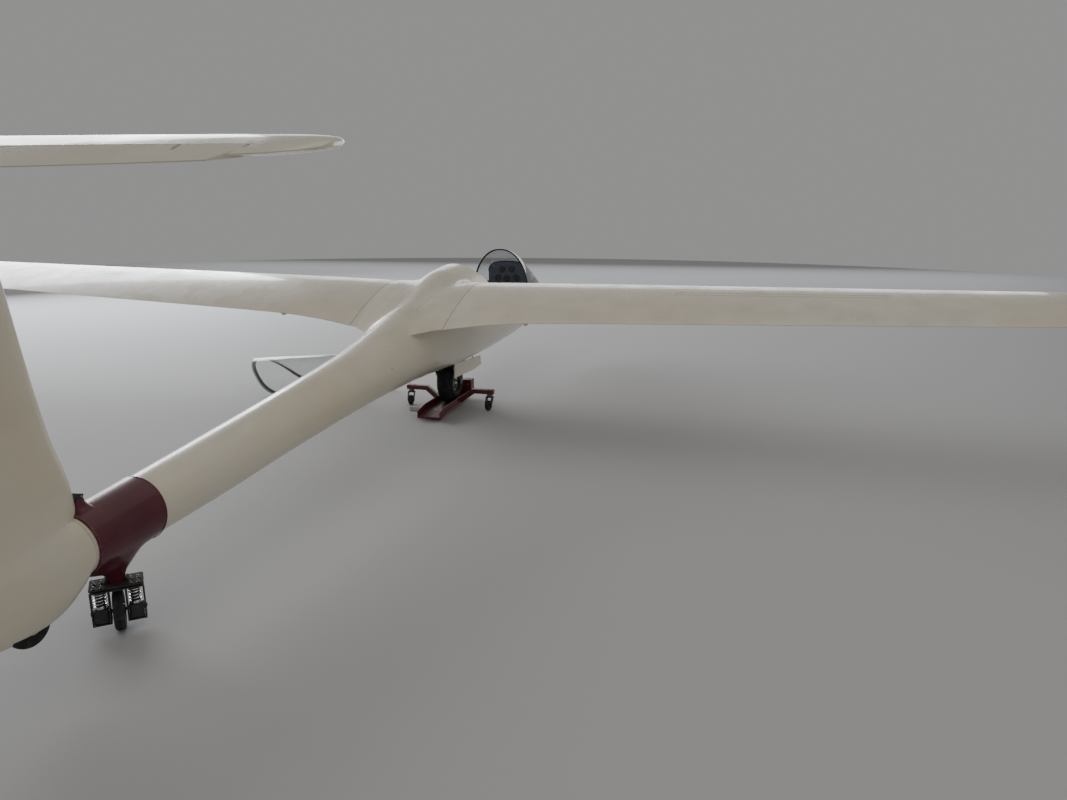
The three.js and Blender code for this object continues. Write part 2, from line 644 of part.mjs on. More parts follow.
function tailplaneAndElevator() {
  const whole = stabSolid(0);
  const cut = (halfWidth, from) => stationBlock(0, halfWidth, from, -1100, 1500, 1900);
  const stabilizer = whole.subtract(cut(ELEVATOR.end + RUNNING_GAP, hingeStation + ELEVATOR_NOSE + RUNNING_GAP));
  const nose = bar([-ELEVATOR.end, yOf(hingeStation), hingeHeight], [ELEVATOR.end, yOf(hingeStation), hingeHeight],
    ELEVATOR_NOSE, ELEVATOR_NOSE);
  const level = whole.intersect(cut(ELEVATOR.end, hingeStation)).add(nose.intersect(whole));
  const turn = new THREE.Matrix4().makeTranslation(0, yOf(hingeStation), hingeHeight)
    .multiply(new THREE.Matrix4().makeRotationX(-radians(ELEVATOR.droop)))
    .multiply(new THREE.Matrix4().makeTranslation(0, -yOf(hingeStation), -hingeHeight));
  const ends = [1, -1].map((side) => planProfile([
    [side * 1000, -780], [side * 1140, -600], [side * 1200, -600], [side * 1200, -1000], [side * 1000, -1000],
  ], 1500, 1900));
  const across = (x, reach, radius, sides) => bar([x - reach, yOf(hingeStation), hingeHeight],
    [x + reach, yOf(hingeStation), hingeHeight], radius, radius, sides);
  let flap = level.subtract(ends[0]).subtract(ends[1]);
  let fixed = stabilizer;
  for (const x of ELEVATOR.lugs) {
    const arm = stationBlock(x, LUG.half, hingeStation + ELEVATOR_NOSE + RUNNING_GAP + 8, hingeStation - 6,
      hingeHeight - 6, hingeHeight + 6);
    fixed = joined(fixed, arm, across(x, LUG.pinHalf, LUG.pin, LUG.pinSides));
    flap = flap.subtract(across(x, LUG.half + LUG.side, ELEVATOR_NOSE + 4, LUG.notchSides))
      .subtract(across(x, LUG.pinHalf + 1, LUG.pin + LUG.play, LUG.pinSides));
  }
  return { stabilizer: fixed, elevator: placed(geometryOf(flap), turn) };
}

const TAIL_WHEEL = { station: -378, height: 210, radius: 80, half: 22 };

function tailSolids() {
  const outline = aftBodySolid().add(finSolid());
  const ahead = (shift) => sideProfile([
    [200, 100], [200, 1800], [RUDDER.hinge + shift, 1800], [RUDDER.hinge + shift, 100],
  ], -200, 200);
  const underElevator = stationBlock(0, 200, hingeStation + ELEVATOR_NOSE + 12, -1100, RUDDER.top + RUNNING_GAP, 1900);
  const wheelSlot = bar([-TAIL_WHEEL.half - 6, yOf(TAIL_WHEEL.station), TAIL_WHEEL.height],
    [TAIL_WHEEL.half + 6, yOf(TAIL_WHEEL.station), TAIL_WHEEL.height], TAIL_WHEEL.radius + 7, TAIL_WHEEL.radius + 7, 28);
  const seat = stabSolid(GAP);
  const aboveSeat = placed(geometryOf(seat), new THREE.Matrix4().makeTranslation(0, 0, 26));
  const fin = outline.intersect(ahead(RUDDER.radius + RUNNING_GAP)).subtract(underElevator)
    .subtract(seat).subtract(aboveSeat).subtract(wheelSlot)
    .subtract(bodyBetween([60, 0, -80, AFT_END_OF_BOOM - GAP], -GAP))
    .subtract(bodyBetween([60, 0, -80, COLLAR.rear - GAP], -COLLAR.thickness - GAP));
  const aft = stationBlock(0, 200, RUDDER.hinge, -1200, RUDDER.bottom, RUDDER.top);
  const nose = bar([0, yOf(RUDDER.hinge), RUDDER.bottom], [0, yOf(RUDDER.hinge), RUDDER.top], RUDDER.radius);
  const upright = (height, reach, radius, sides) => bar([0, yOf(RUDDER.hinge), height - reach],
    [0, yOf(RUDDER.hinge), height + reach], radius, radius, sides);
  let rudder = outline.intersect(aft).add(nose.intersect(outline));
  let post = fin;
  for (const height of RUDDER.lugs) {
    const arm = stationBlock(0, 7, RUDDER.hinge + RUDDER.radius + RUNNING_GAP + 8, RUDDER.hinge - 7,
      height - LUG.half, height + LUG.half);
    post = joined(post, arm, upright(height, LUG.pinHalf, LUG.pin, LUG.pinSides));
    rudder = rudder.subtract(upright(height, LUG.half + LUG.side, RUDDER.radius + 4, LUG.notchSides))
      .subtract(upright(height, LUG.pinHalf + 1, LUG.pin + LUG.play, LUG.pinSides));
  }
  return { fin: post, rudder };
}

const { stabilizer, elevator } = tailplaneAndElevator();
const { fin, rudder } = tailSolids();
add('fin', fin, 'gelcoat');
add('rudder', rudder, 'gelcoat');
add('tailplane', stabilizer, 'gelcoat');
add('elevator', elevator, 'gelcoat');

// Landing gear

// A tyre profile about its axle: radius and offset across the tread.
function tyreProfile(radius, width, bore) {
  const half = width / 2;
  return [[bore, -half * 0.62], [bore, half * 0.62], [bore + 14, half * 0.86], [lerp(bore, radius, 0.5), half],
    [radius - half * 0.42, half * 0.88], [radius - half * 0.12, half * 0.52], [radius, half * 0.16],
    [radius, -half * 0.16], [radius - half * 0.12, -half * 0.52], [radius - half * 0.42, -half * 0.88],
    [lerp(bore, radius, 0.5), -half], [bore + 14, -half * 0.86]];
}

const RIM = 76;
const AXLE = { radius: 10, reach: 96 };
const wheelCentre = [0, yOf(WHEEL_STATION), AXLE_HEIGHT];
add('main_tyre', turned(tyreProfile(TYRE_RADIUS, TYRE_WIDTH, RIM + GAP), wheelCentre, 32), 'rubber');
add('main_wheel_hub', turned([[AXLE.radius + GAP, -52], [30, -52], [34, -20], [RIM - 12, -16], [RIM - 8, -42],
  [RIM, -42], [RIM, 42], [RIM - 8, 42], [RIM - 12, 16], [34, 20], [30, 52], [AXLE.radius + GAP, 52]],
wheelCentre, 32), 'aluminium');

function gearLegs() {
  const pieces = [bar([-AXLE.reach, wheelCentre[1], AXLE_HEIGHT], [AXLE.reach, wheelCentre[1], AXLE_HEIGHT], AXLE.radius)];
  for (const side of [1, -1]) {
    const x = side * 84;
    pieces.push(
      bar([x, wheelCentre[1], AXLE_HEIGHT], [x, yOf(3300), 480], 12),
      bar([x, wheelCentre[1], AXLE_HEIGHT], [x, yOf(3640), 480], 12),
      bar([x - side * 10, wheelCentre[1], AXLE_HEIGHT], [x + side * 12, wheelCentre[1], AXLE_HEIGHT], 26),
    );
  }
  for (const station of [3300, 3640]) {
    pieces.push(bar([-(BAY.half - GAP), yOf(station), 480], [BAY.half - GAP, yOf(station), 480], 15));
  }
  return joined(...pieces);
}

add('main_gear_legs', gearLegs(), 'blackSteel');

const DOOR = { rear: 3290, front: 3915, hinge: 386, drop: 115, thickness: 9, splay: 14 };

function gearDoor(side) {
  const hingeX = side * (BAY.half + 4);
  const outline = [
    [DOOR.rear + 60, 0], [DOOR.front, -34], [DOOR.front - 10, -DOOR.drop + 10], [DOOR.front - 190, -DOOR.drop],
    [DOOR.rear, -DOOR.drop + 16],
  ];
  const shape = new THREE.Shape(outline.map(([s, z]) => new THREE.Vector2(s, z)));
  const geometry = new THREE.ExtrudeGeometry(shape, { depth: DOOR.thickness, bevelEnabled: false });
  const axes = new THREE.Matrix4().makeBasis(
    new THREE.Vector3(0, -1, 0), new THREE.Vector3(0, 0, 1), new THREE.Vector3(-1, 0, 0));
  const swing = new THREE.Matrix4().makeRotationY(-side * radians(DOOR.splay));
  const matrix = new THREE.Matrix4().makeTranslation(hingeX, TAIL_CASTOR_Y, DOOR.hinge)
    .multiply(swing).multiply(new THREE.Matrix4().makeTranslation(DOOR.thickness / 2, 0, 0)).multiply(axes);
  return placed(geometry, matrix).subtract(bodyBetween(POD_STATIONS, -GAP));
}

add('gear_door_port', gearDoor(1), 'gelcoat');
add('gear_door_starboard', gearDoor(-1), 'gelcoat');

function tailWheel() {
  const centre = [0, yOf(TAIL_WHEEL.station), TAIL_WHEEL.height];
  const axle = bar([-TAIL_WHEEL.half - 6 + GAP, centre[1], centre[2]], [TAIL_WHEEL.half + 6 - GAP, centre[1], centre[2]], 32);
  return turned(tyreProfile(TAIL_WHEEL.radius, TAIL_WHEEL.half * 2, 30), centre, 22).add(axle);
}

add('tail_wheel', tailWheel(), 'rubber');

// Main wheel dolly

const TRAY = { rear: 3085, front: 3862, half: 91, sheet: 4, wall: 88, ramp: 3240 };
const CASTOR_X = 332;
const ARM = { top: 158, depth: 34, halfWidth: 22, crank: 190 };

function dollyTray() {
  const floor = sideProfile([
    [TRAY.front, TRAY_DECK], [TRAY.ramp, TRAY_DECK], [TRAY.rear, 18], [TRAY.rear, 18 - TRAY.sheet],
    [TRAY.ramp, TRAY_DECK - TRAY.sheet], [TRAY.front, TRAY_DECK - TRAY.sheet],
  ], -TRAY.half, TRAY.half);
  const walls = [1, -1].map((side) => sideProfile([
    [TRAY.front, TRAY_DECK - TRAY.sheet], [TRAY.front, TRAY.wall], [TRAY.ramp, TRAY.wall], [TRAY.rear, 66],
    [TRAY.rear, 14], [TRAY.ramp, TRAY_DECK - TRAY.sheet],
  ], side > 0 ? TRAY.half - TRAY.sheet : -TRAY.half, side > 0 ? TRAY.half : -TRAY.half + TRAY.sheet));
  const rearLip = stationBlock(0, TRAY.half, TRAY.rear, TRAY.rear + TRAY.sheet, 14, 30);
  return joined(floor, ...walls, rearLip);
}

function stopBox() {
  const outer = stationBlock(0, TRAY.half - TRAY.sheet - GAP, 3782, TRAY.front, TRAY_DECK + GAP, 168);
  return outer;
}

const armOutline = (side) => {
  const inner = TRAY.half + GAP;
  const outline = [[inner, 44], [inner, 44 + ARM.depth + 6], [ARM.crank - 4, ARM.top], [CASTOR_X + 32, ARM.top],
    [CASTOR_X + 32, ARM.top - ARM.depth], [ARM.crank + 12, ARM.top - ARM.depth], [inner + 14, 44]];
  return outline.map(([x, z]) => [side * x, z]);
};

add('dolly_tray', dollyTray(), 'dollySteel');
add('dolly_front_stop', stopBox(), 'dollySteel');
for (const [label, side] of [['port', 1], ['starboard', -1]]) {
  const outline = side > 0 ? armOutline(side) : armOutline(side).reverse();
  add(`dolly_arm_${label}`, frontProfile(outline, WHEEL_STATION - ARM.halfWidth, WHEEL_STATION + ARM.halfWidth),
    'dollySteel');
}

const SIDE_TUBE = { station: 3190, end: 190, height: 52, radius: 20 };
const tubePoint = (x) => [x, yOf(SIDE_TUBE.station), SIDE_TUBE.height];
add('dolly_side_tube', bar(tubePoint(TRAY.half + GAP), tubePoint(SIDE_TUBE.end), SIDE_TUBE.radius, SIDE_TUBE.radius, 20),
  'bareSteel');

// Castors. A castor is drawn with its stem at the origin and its wheel trailing towards +Y.
const SMALL_CASTOR = { top: ARM.top - ARM.depth - GAP, radius: 37.5, half: 16, trail: 24, gap: 6, plate: 4, pin: 5 };

function forkSolid({ top, radius, half, trail, gap, plate, pin }) {
  const cheek = half + gap;
  const crownHeight = top - 24;
  const crown = joined(
    bar([0, 0, top - 16], [0, 0, top], 22, 22, 20),
    block(-cheek - plate, cheek + plate, -24, 24, crownHeight - 2, top - 15),
  );
  const cheeks = [1, -1].map((side) => {
    const shape = new THREE.Shape([[-22, crownHeight], [22, crownHeight], [trail + 14, radius + 12],
      [trail + 12, radius - 8], [trail - 10, radius - 8]].map(([y, z]) => new THREE.Vector2(y, z)));
    const geometry = new THREE.ExtrudeGeometry(shape, { depth: plate, bevelEnabled: false });
    const axes = new THREE.Matrix4().makeBasis(
      new THREE.Vector3(0, 1, 0), new THREE.Vector3(0, 0, 1), new THREE.Vector3(1, 0, 0));
    const x = side > 0 ? cheek : -cheek - plate;
    return placed(geometry, new THREE.Matrix4().makeTranslation(x, 0, 0).multiply(axes));
  });
  const axle = bar([-cheek - plate - 3, trail, radius], [cheek + plate + 3, trail, radius], pin);
  return joined(crown, ...cheeks, axle);
}

function castorWheel({ radius, half, trail, gap, pin }) {
  const hub = half + gap - 1;
  return turned([[pin + GAP, -hub], [12, -hub], [12, -half], [radius - 6, -half], [radius, -half + 5],
    [radius, half - 5], [radius - 6, half], [12, half], [12, hub], [pin + GAP, hub]], [0, trail, radius], 24);
}

function castorAt(label, size, x, station, swing) {
  const group = new THREE.Group();
  group.position.set(x, yOf(station), 0);
  group.rotation.z = radians(swing);
  glider.add(group);
  add(`${label}_fork`, forkSolid(size), 'blackSteel', group);
  add(`${label}_wheel`, castorWheel(size), 'rubber', group);
}

castorAt('castor_port', SMALL_CASTOR, CASTOR_X, WHEEL_STATION, 8);
castorAt('castor_starboard', SMALL_CASTOR, -CASTOR_X, WHEEL_STATION, -10);

// Tail dolly: collar round the boom, neck, top plate, sprung castor

// Columns: height, front station, rear station, half width. The rear runs out in a web under the boom.
const FUNNEL = [
  [COLLAR.neckBottom, 45, -21, 32],
  [202, 47, -24, 34],
  [222, 56, -38, 41],
  [238, 66, -66, 50],
  [248, 76, -106, 57],
  [262, 88, -140, 66],
  [286, 109, -152, 80],
  [320, 141, -156, 96],
  [360, 156, -156, 104],
  [400, 161, -156, 106],
];
const FUNNEL_SIDES = 28;

function collarSolid() {
  const stations = [COLLAR.front, 130, 60, 0, -80, COLLAR.rear];
  const sleeve = bodyBetween(stations, -COLLAR.thickness);
  const funnel = loft(FUNNEL.map(([height, front, rear, across]) => {
    const ring = [];
    for (let i = 0; i < FUNNEL_SIDES; i += 1) {
      const angle = (2 * Math.PI * i) / FUNNEL_SIDES;
      const reach = Math.sin(angle) > 0 ? COLLAR.neckStation - rear : front - COLLAR.neckStation;
      ring.push([Math.cos(angle) * across, yOf(COLLAR.neckStation) + Math.sin(angle) * reach, height]);
    }
    return ring;
  }));
  const boomSpace = bodyBetween([260, 200, ...stations, AFT_END_OF_BOOM], -GAP);
  return joined(sleeve, funnel).subtract(boomSpace);
}

add('tail_collar', collarSolid(), 'maroon');

const CLASP = { rear: -126, front: -94, half: 15, top: 584 };

function clasp() {
  const seat = bodyBetween([0, -40, -80, COLLAR.rear], -COLLAR.thickness - GAP);
  return stationBlock(0, CLASP.half, CLASP.rear, CLASP.front, 500, CLASP.top).subtract(seat);
}

add('tail_collar_clasp', clasp(), 'dollySteel');

const TAIL_CASTOR = {
  plateTop: COLLAR.neckBottom - GAP, plate: 7, radius: 78, half: 19, hub: 22, trail: 32, swing: 41,
  unitInner: 27, unitOuter: 93, bar: 5, depth: 25, springRadius: 24, bottom: 34, blockTop: 96,
};

function tailPlate() {
  const { plateTop, plate, unitOuter } = TAIL_CASTOR;
  const top = block(-unitOuter, unitOuter, -40, 62, plateTop - plate, plateTop);
  const boss = bar([0, 0, plateTop - plate - 6], [0, 0, plateTop - plate + 1], 28, 28, 20);
  return joined(top, boss);
}

function springFrames() {
  const { plateTop, plate, trail, unitInner, unitOuter, depth, bottom, blockTop, radius } = TAIL_CASTOR;
  const frameTop = plateTop - plate - 6 - GAP;
  const pieces = [block(-unitOuter, unitOuter, -30, trail + depth, frameTop - 6, frameTop)];
  for (const side of [1, -1]) {
    const [x0, x1] = side > 0 ? [unitInner, unitOuter] : [-unitOuter, -unitInner];
    const frame = block(x0, x1, trail - depth, trail + depth, bottom, frameTop - 3)
      .subtract(block(x0 + TAIL_CASTOR.bar, x1 - TAIL_CASTOR.bar, trail - depth - 5, trail + depth + 5,
        bottom + TAIL_CASTOR.bar, frameTop - 6));
    pieces.push(frame);
    pieces.push(block(x0 + 8, x1 - 8, trail - depth + 3, trail + depth - 3, bottom + 2, blockTop));
  }
  pieces.push(bar([-unitOuter - 4, trail, radius], [unitOuter + 4, trail, radius], 8));
  return joined(...pieces);
}

function springSolid(side) {
  const { plateTop, plate, trail, unitInner, unitOuter, blockTop, springRadius } = TAIL_CASTOR;
  const x = side * (unitInner + unitOuter) / 2;
  const [low, high] = [blockTop + GAP, plateTop - plate - 12 - 2 * GAP];
  const coils = 4;
  const profile = [[springRadius - 6, 0]];
  for (let i = 0; i < coils; i += 1) {
    const pitch = (high - low) / coils;
    profile.push([springRadius - 2, pitch * i + 0.5], [springRadius, pitch * (i + 0.3)],
      [springRadius, pitch * (i + 0.55)], [springRadius - 3, pitch * (i + 0.85)]);
  }
  profile.push([springRadius - 6, high - low]);
  const points = [...profile, profile[0]].map(([r, z]) => new THREE.Vector2(r, z));
  const geometry = new THREE.LatheGeometry(points, 14);
  const matrix = new THREE.Matrix4().makeTranslation(x, trail, low).multiply(new THREE.Matrix4().makeRotationX(Math.PI / 2));
  const solid = placed(geometry, matrix);
  if (solid.volume() > 0) return solid;
  geometry.index.array.reverse();
  return placed(geometry, matrix);
}

function tailCastor() {
  const group = new THREE.Group();
  group.position.set(0, yOf(COLLAR.neckStation), 0);
  group.rotation.z = radians(TAIL_CASTOR.swing);
  glider.add(group);
  add('tail_castor_plate', tailPlate(), 'bareSteel', group);
  add('tail_castor_frames', springFrames(), 'blackSteel', group);
  add('tail_castor_spring_port', springSolid(1), 'bareSteel', group);
  add('tail_castor_spring_starboard', springSolid(-1), 'bareSteel', group);
  const { radius, half, hub, trail } = TAIL_CASTOR;
  add('tail_castor_wheel', turned([[8 + GAP, -hub], [20, -hub], [20, -half], [radius - 10, -half],
    [radius - 3, -half + 4], [radius, -half + 10], [radius, half - 10], [radius - 3, half - 4], [radius - 10, half],
    [20, half], [20, hub], [8 + GAP, hub]], [0, trail, radius], 28), 'rubber', group);
}

tailCastor();

export default glider;
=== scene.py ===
# %% [markdown]
# # A sailplane parked on its ground dollies
# This lesson dresses a single seat glider that stands in a shed: a main wheel dolly under the wheel, a tail
# dolly clamped round the boom, and the rear canopy taken off and laid under the port wing. The rigid frame
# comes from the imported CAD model. We keep its places and give every piece a finer surface.

# %% Load the frame
import math

import bmesh
import bpy
import numpy as np
from mathutils import Matrix, Quaternion, Vector, kdtree
from mathutils.bvhtree import BVHTree


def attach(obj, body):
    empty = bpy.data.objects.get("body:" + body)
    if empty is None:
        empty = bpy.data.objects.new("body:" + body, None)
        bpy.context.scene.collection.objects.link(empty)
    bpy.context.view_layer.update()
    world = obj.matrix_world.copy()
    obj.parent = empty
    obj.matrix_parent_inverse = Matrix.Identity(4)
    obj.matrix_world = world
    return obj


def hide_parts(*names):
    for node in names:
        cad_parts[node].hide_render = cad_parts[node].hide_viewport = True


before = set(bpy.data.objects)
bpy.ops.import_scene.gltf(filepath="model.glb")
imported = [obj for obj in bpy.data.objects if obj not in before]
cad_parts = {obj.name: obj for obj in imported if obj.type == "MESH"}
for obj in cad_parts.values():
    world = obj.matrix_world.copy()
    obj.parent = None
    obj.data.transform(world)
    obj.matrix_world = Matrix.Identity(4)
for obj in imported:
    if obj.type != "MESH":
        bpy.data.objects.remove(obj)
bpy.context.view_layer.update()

# %% [markdown]
# ## Camera
# The photograph was taken at eye height behind the starboard side of the tail, looking forward along the
# boom. A lens could be guessed by eye. Here its length and tilt come from the vanishing points of boom and
# wing.

# %% Camera behind the tail
EYE = (-2.276, 4.854, 1.60)
LOOK_DOWN, ROLL = math.radians(14.0), math.radians(0.22)
LOOK_TO_PORT = (0.2639, -0.9646)

camera_data = bpy.data.cameras.new("camera")
camera_data.sensor_width = 36
camera_data.lens = 26.99
camera_data.clip_end = 200
camera = bpy.data.objects.new("camera", camera_data)
bpy.context.scene.collection.objects.link(camera)
camera.location = EYE
level = math.cos(LOOK_DOWN)
aim = Vector((LOOK_TO_PORT[0] * level, LOOK_TO_PORT[1] * level, -math.sin(LOOK_DOWN)))
camera.rotation_mode = "QUATERNION"
camera.rotation_quaternion = aim.to_track_quat("-Z", "Y") @ Quaternion((0, 0, 1), ROLL)
bpy.context.scene.camera = camera
print("camera at", EYE, "lens", camera_data.lens)

# %% [markdown]
# ## Helpers for measures and curves
# The fuselage, wings and fin are drawn as short tables of sections. Between the rows we need a curve that
# is smooth but never swings past a row, or the boom would get lumps. A monotone cubic curve does that.

# %% Tables of sections, in millimetres
TAIL_CASTOR_Y = 2585


def y_of(station):
    """A station is counted forward from the tail castor, and the nose points to -Y."""
    return TAIL_CASTOR_Y - station


def read_table(rows, at):
    """Every column of a table at each place, on curves that never overshoot."""
    rows = np.array(sorted(rows), float)
    x, values = rows[:, 0], rows[:, 1:]
    at = np.clip(np.atleast_1d(np.array(at, float)), x[0], x[-1])
    slope = np.diff(values, axis=0) / np.diff(x)[:, None]
    before, after = slope[:-1], slope[1:]
    same_way = before * after > 0
    middle = np.where(same_way, 2 * before * after / np.where(same_way, before + after, 1), 0)
    tangent = np.vstack([slope[:1], middle, slope[-1:]])
    i = np.clip(np.searchsorted(x, at) - 1, 0, len(x) - 2)
    step = np.diff(x)[i][:, None]
    t = (at[:, None] - x[i][:, None]) / step
    bend = tangent[i] * t * (1 - t) ** 2 - tangent[i + 1] * t * t * (1 - t)
    return values[i] * (1 + 2 * t) * (1 - t) ** 2 + values[i + 1] * t * t * (3 - 2 * t) + step * bend


# %% [markdown]
# ## Helpers for meshes
# A form is kept as a list of points in millimetres and a list of faces. Small ones are joined before they
# become one Blender mesh, so that a frame with forty bolts is still one piece that rides on one body.

# %% Forms: points and faces
class Form:
    """Points in millimetres, faces, and for each face the number of its finish."""

    def __init__(self, points=(), faces=(), finish=0):
        self.points = [tuple(map(float, p)) for p in points]
        self.faces = [tuple(f) for f in faces]
        self.finishes = [finish] * len(self.faces)

    def add(self, other, finish=None):
        start = len(self.points)
        self.points += other.points
        self.faces += [tuple(i + start for i in face) for face in other.faces]
        self.finishes += other.finishes if finish is None else [finish] * len(other.faces)
        return self

    def moved(self, matrix):
        """A copy with every point passed through a matrix in millimetres."""
        copy = Form()
        copy.points = [tuple(matrix @ Vector(p)) for p in self.points]
        copy.faces = list(self.faces)
        copy.finishes = list(self.finishes)
        return copy


def skin(rings, cap=True, loop=True):
    """A skin through rings of points that all have the same count."""
    rings = [np.array(ring, float) for ring in rings]
    count = len(rings[0])
    points = np.vstack(rings)
    faces = []
    for r in range(len(rings) - 1):
        for i in range(count if loop else count - 1):
            j = (i + 1) % count
            faces.append((r * count + i, r * count + j, (r + 1) * count + j, (r + 1) * count + i))
    if cap:
        faces.append(tuple(range(count - 1, -1, -1)))
        faces.append(tuple(range((len(rings) - 1) * count, len(rings) * count)))
    return Form(points, faces)


def outline_solid(outline, axis, low, high):
    """A flat outline drawn out along x, y or z. Its two columns are the other axes in order."""
    place = {"x": lambda a, b, d: (d, a, b), "y": lambda a, b, d: (a, d, b),
             "z": lambda a, b, d: (a, b, d)}[axis]
    return skin([[place(a, b, d) for a, b in outline] for d in (low, high)])


def rounded_outline(half_a, half_b, radius, steps=5):
    """A rectangle about the middle with round corners."""
    radius = min(radius, half_a - 0.01, half_b - 0.01)
    points = []
    for k, (sa, sb) in enumerate(((1, 1), (-1, 1), (-1, -1), (1, -1))):
        for i in range(steps + 1):
            angle = math.pi / 2 * (k + i / steps)
            points.append((sa * (half_a - radius) + radius * math.cos(angle),
                           sb * (half_b - radius) + radius * math.sin(angle)))
    return points


def soft_block(low, high, edge=2.0, corner=None, steps=4, axis="z"):
    """A block between two corners whose edges are rounded all round, as cast or folded pieces are."""
    order = {"z": (0, 1, 2), "x": (1, 2, 0), "y": (0, 2, 1)}[axis]
    a, b, d = [(low[k] + high[k]) / 2 for k in order]
    half_a, half_b, half_d = [abs(high[k] - low[k]) / 2 for k in order]
    corner = max(corner or edge, edge)
    edge = min(edge, half_d * 0.98, half_a * 0.98, half_b * 0.98)
    rings = []
    for end in (-1, 1):
        turns = range(steps + 1) if end < 0 else range(steps, -1, -1)
        for i in turns:
            angle = math.pi / 2 * i / steps
            inset = edge * (1 - math.sin(angle))
            depth = end * (half_d - edge * (1 - math.cos(angle)))
            ring = rounded_outline(half_a - inset, half_b - inset, max(corner - inset, 0.4))
            rings.append([(a + u, b + v, d + depth) for u, v in ring])
    form = skin(rings)
    back = np.argsort(order)
    form.points = [tuple(p[k] for k in back) for p in form.points]
    return form


def turned_form(profile, centre=(0, 0, 0), axis=(0, 0, 1), segments=32, closed=False):
    """A profile of (radius, offset) turned about an axis. A closed profile makes a ring."""
    turn = Vector((0, 0, 1)).rotation_difference(Vector(axis).normalized()).to_matrix()
    rings = []
    for k in range(segments):
        angle = 2 * math.pi * k / segments
        rings.append([tuple(turn @ Vector((r * math.cos(angle), r * math.sin(angle), d)) + Vector(centre))
                      for r, d in profile])
    count = len(profile)
    points = [p for ring in rings for p in ring]
    faces = []
    for k in range(segments):
        after = (k + 1) % segments
        for i in range(count if closed else count - 1):
            j = (i + 1) % count
            faces.append((k * count + i, after * count + i, after * count + j, k * count + j))
    if not closed:
        for i in (0, count - 1):
            if profile[i][0] > 1e-6:
                ring = [k * count + i for k in range(segments)]
                faces.append(tuple(ring[::-1]) if i == 0 else tuple(ring))
    return Form(points, faces)


UP, ACROSS = (0, 0, 1), (1, 0, 0)


def disc(radius, low, high, centre, axis, segments=32):
    """A plain cylinder between two offsets along the axis."""
    return turned_form([(0, low), (radius, low), (radius, high), (0, high)], centre, axis, segments)


def tube_along(path, radius, sides=12, closed=False, cap=True):
    """A round tube along a path; the radius may be a list with one value a point."""
    path = [Vector(p) for p in path]
    count = len(path)
    radii = radius if isinstance(radius, (list, tuple)) else [radius] * count
    rings, across = [], None
    for i, point in enumerate(path):
        before = path[i - 1] if closed or i > 0 else point
        after = path[(i + 1) % count] if closed or i < count - 1 else point
        along = (after - before).normalized()
        if across is None:
            across = along.orthogonal().normalized()
        across = (across - along * across.dot(along)).normalized()
        third = along.cross(across)
        rings.append([tuple(point + (across * math.cos(t) + third * math.sin(t)) * radii[i])
                      for t in [2 * math.pi * k / sides for k in range(sides)]])
    if closed:
        rings.append(rings[0])
    return skin(rings, cap=cap and not closed)


def bar(start, end, radius, sides=20, edge=0.8):
    """A round bar with slightly broken edges."""
    start, end = Vector(start), Vector(end)
    length = (end - start).length
    edge = min(edge, radius * 0.4, length * 0.2)
    profile = [(0, 0), (radius - edge, 0), (radius, edge), (radius, length - edge), (radius - edge, length),
               (0, length)]
    return turned_form(profile, start, end - start, sides)


def bolt(at, axis, size=8.0, head=None, washer=True):
    """A hexagon head on a washer, standing on the point `at` and looking along the axis."""
    axis = Vector(axis).normalized()
    head = head or size * 0.62
    form = Form()
    lift = 0.0
    if washer:
        form.add(turned_form([(0, 0), (size * 1.05, 0), (size * 1.1, 0.3), (size * 1.1, 1.3),
                              (size * 1.0, 1.6), (0, 1.6)], at, axis, 20))
        lift = 1.4
    base = Vector(at) + axis * lift
    form.add(turned_form([(0, 0), (size * 0.9, 0), (size * 0.9, head - 0.9), (size * 0.76, head), (0, head)],
                         base, axis, 6))
    return form


# %% Pieces: a form becomes a Blender object on a body
MADE = []
WELD = 0.01


def mesh_of(name, form):
    """A clean mesh in metres with its faces looking outwards. Points closer than WELD become one."""
    mesh = bpy.data.meshes.new(name)
    mesh.from_pydata([tuple(c / 1000 for c in p) for p in form.points], [], form.faces)
    mesh.polygons.foreach_set("material_index", form.finishes)
    tidy = bmesh.new()
    tidy.from_mesh(mesh)
    bmesh.ops.remove_doubles(tidy, verts=tidy.verts, dist=WELD / 1000)
    bmesh.ops.recalc_face_normals(tidy, faces=tidy.faces)
    tidy.to_mesh(mesh)
    tidy.free()
    return mesh


def linked(name, data):
    """A Blender object made from a mesh and put into the scene."""
    made = bpy.data.objects.new(name, data)
    bpy.context.scene.collection.objects.link(made)
    return made


def piece(name, form, body, finishes, stands_for=(), angle=32):
    """A finished piece: its mesh, its materials, the body that carries it and the CAD nodes it stands for.

    It is shaded smooth, with a crease where two faces meet at more than the angle in degrees.
    """
    mesh = form if isinstance(form, bpy.types.Mesh) else mesh_of(name, form)
    mesh.name = name
    mesh.polygons.foreach_set("use_smooth", [True] * len(mesh.polygons))
    mesh.set_sharp_from_angle(angle=math.radians(angle))
    of_face = np.zeros(len(mesh.polygons), np.int32)
    mesh.polygons.foreach_get("material_index", of_face)
    mesh.materials.clear()
    finishes = finishes if isinstance(finishes, (list, tuple)) else [finishes]
    for material in finishes:
        mesh.materials.append(material)
    mesh.polygons.foreach_set("material_index", np.minimum(of_face, len(finishes) - 1))
    made = linked(name, mesh)
    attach(made, body)
    if stands_for:
        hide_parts(*stands_for)
    MADE.append((name, sum(len(p.vertices) - 2 for p in mesh.polygons)))
    return made


def working_mesh(form):
    """A form as a mesh to cut. Empty material slots keep the finish number of each face through the cut."""
    mesh = form if isinstance(form, bpy.types.Mesh) else mesh_of("work", form)
    while len(mesh.materials) < 3:
        mesh.materials.append(None)
    return mesh


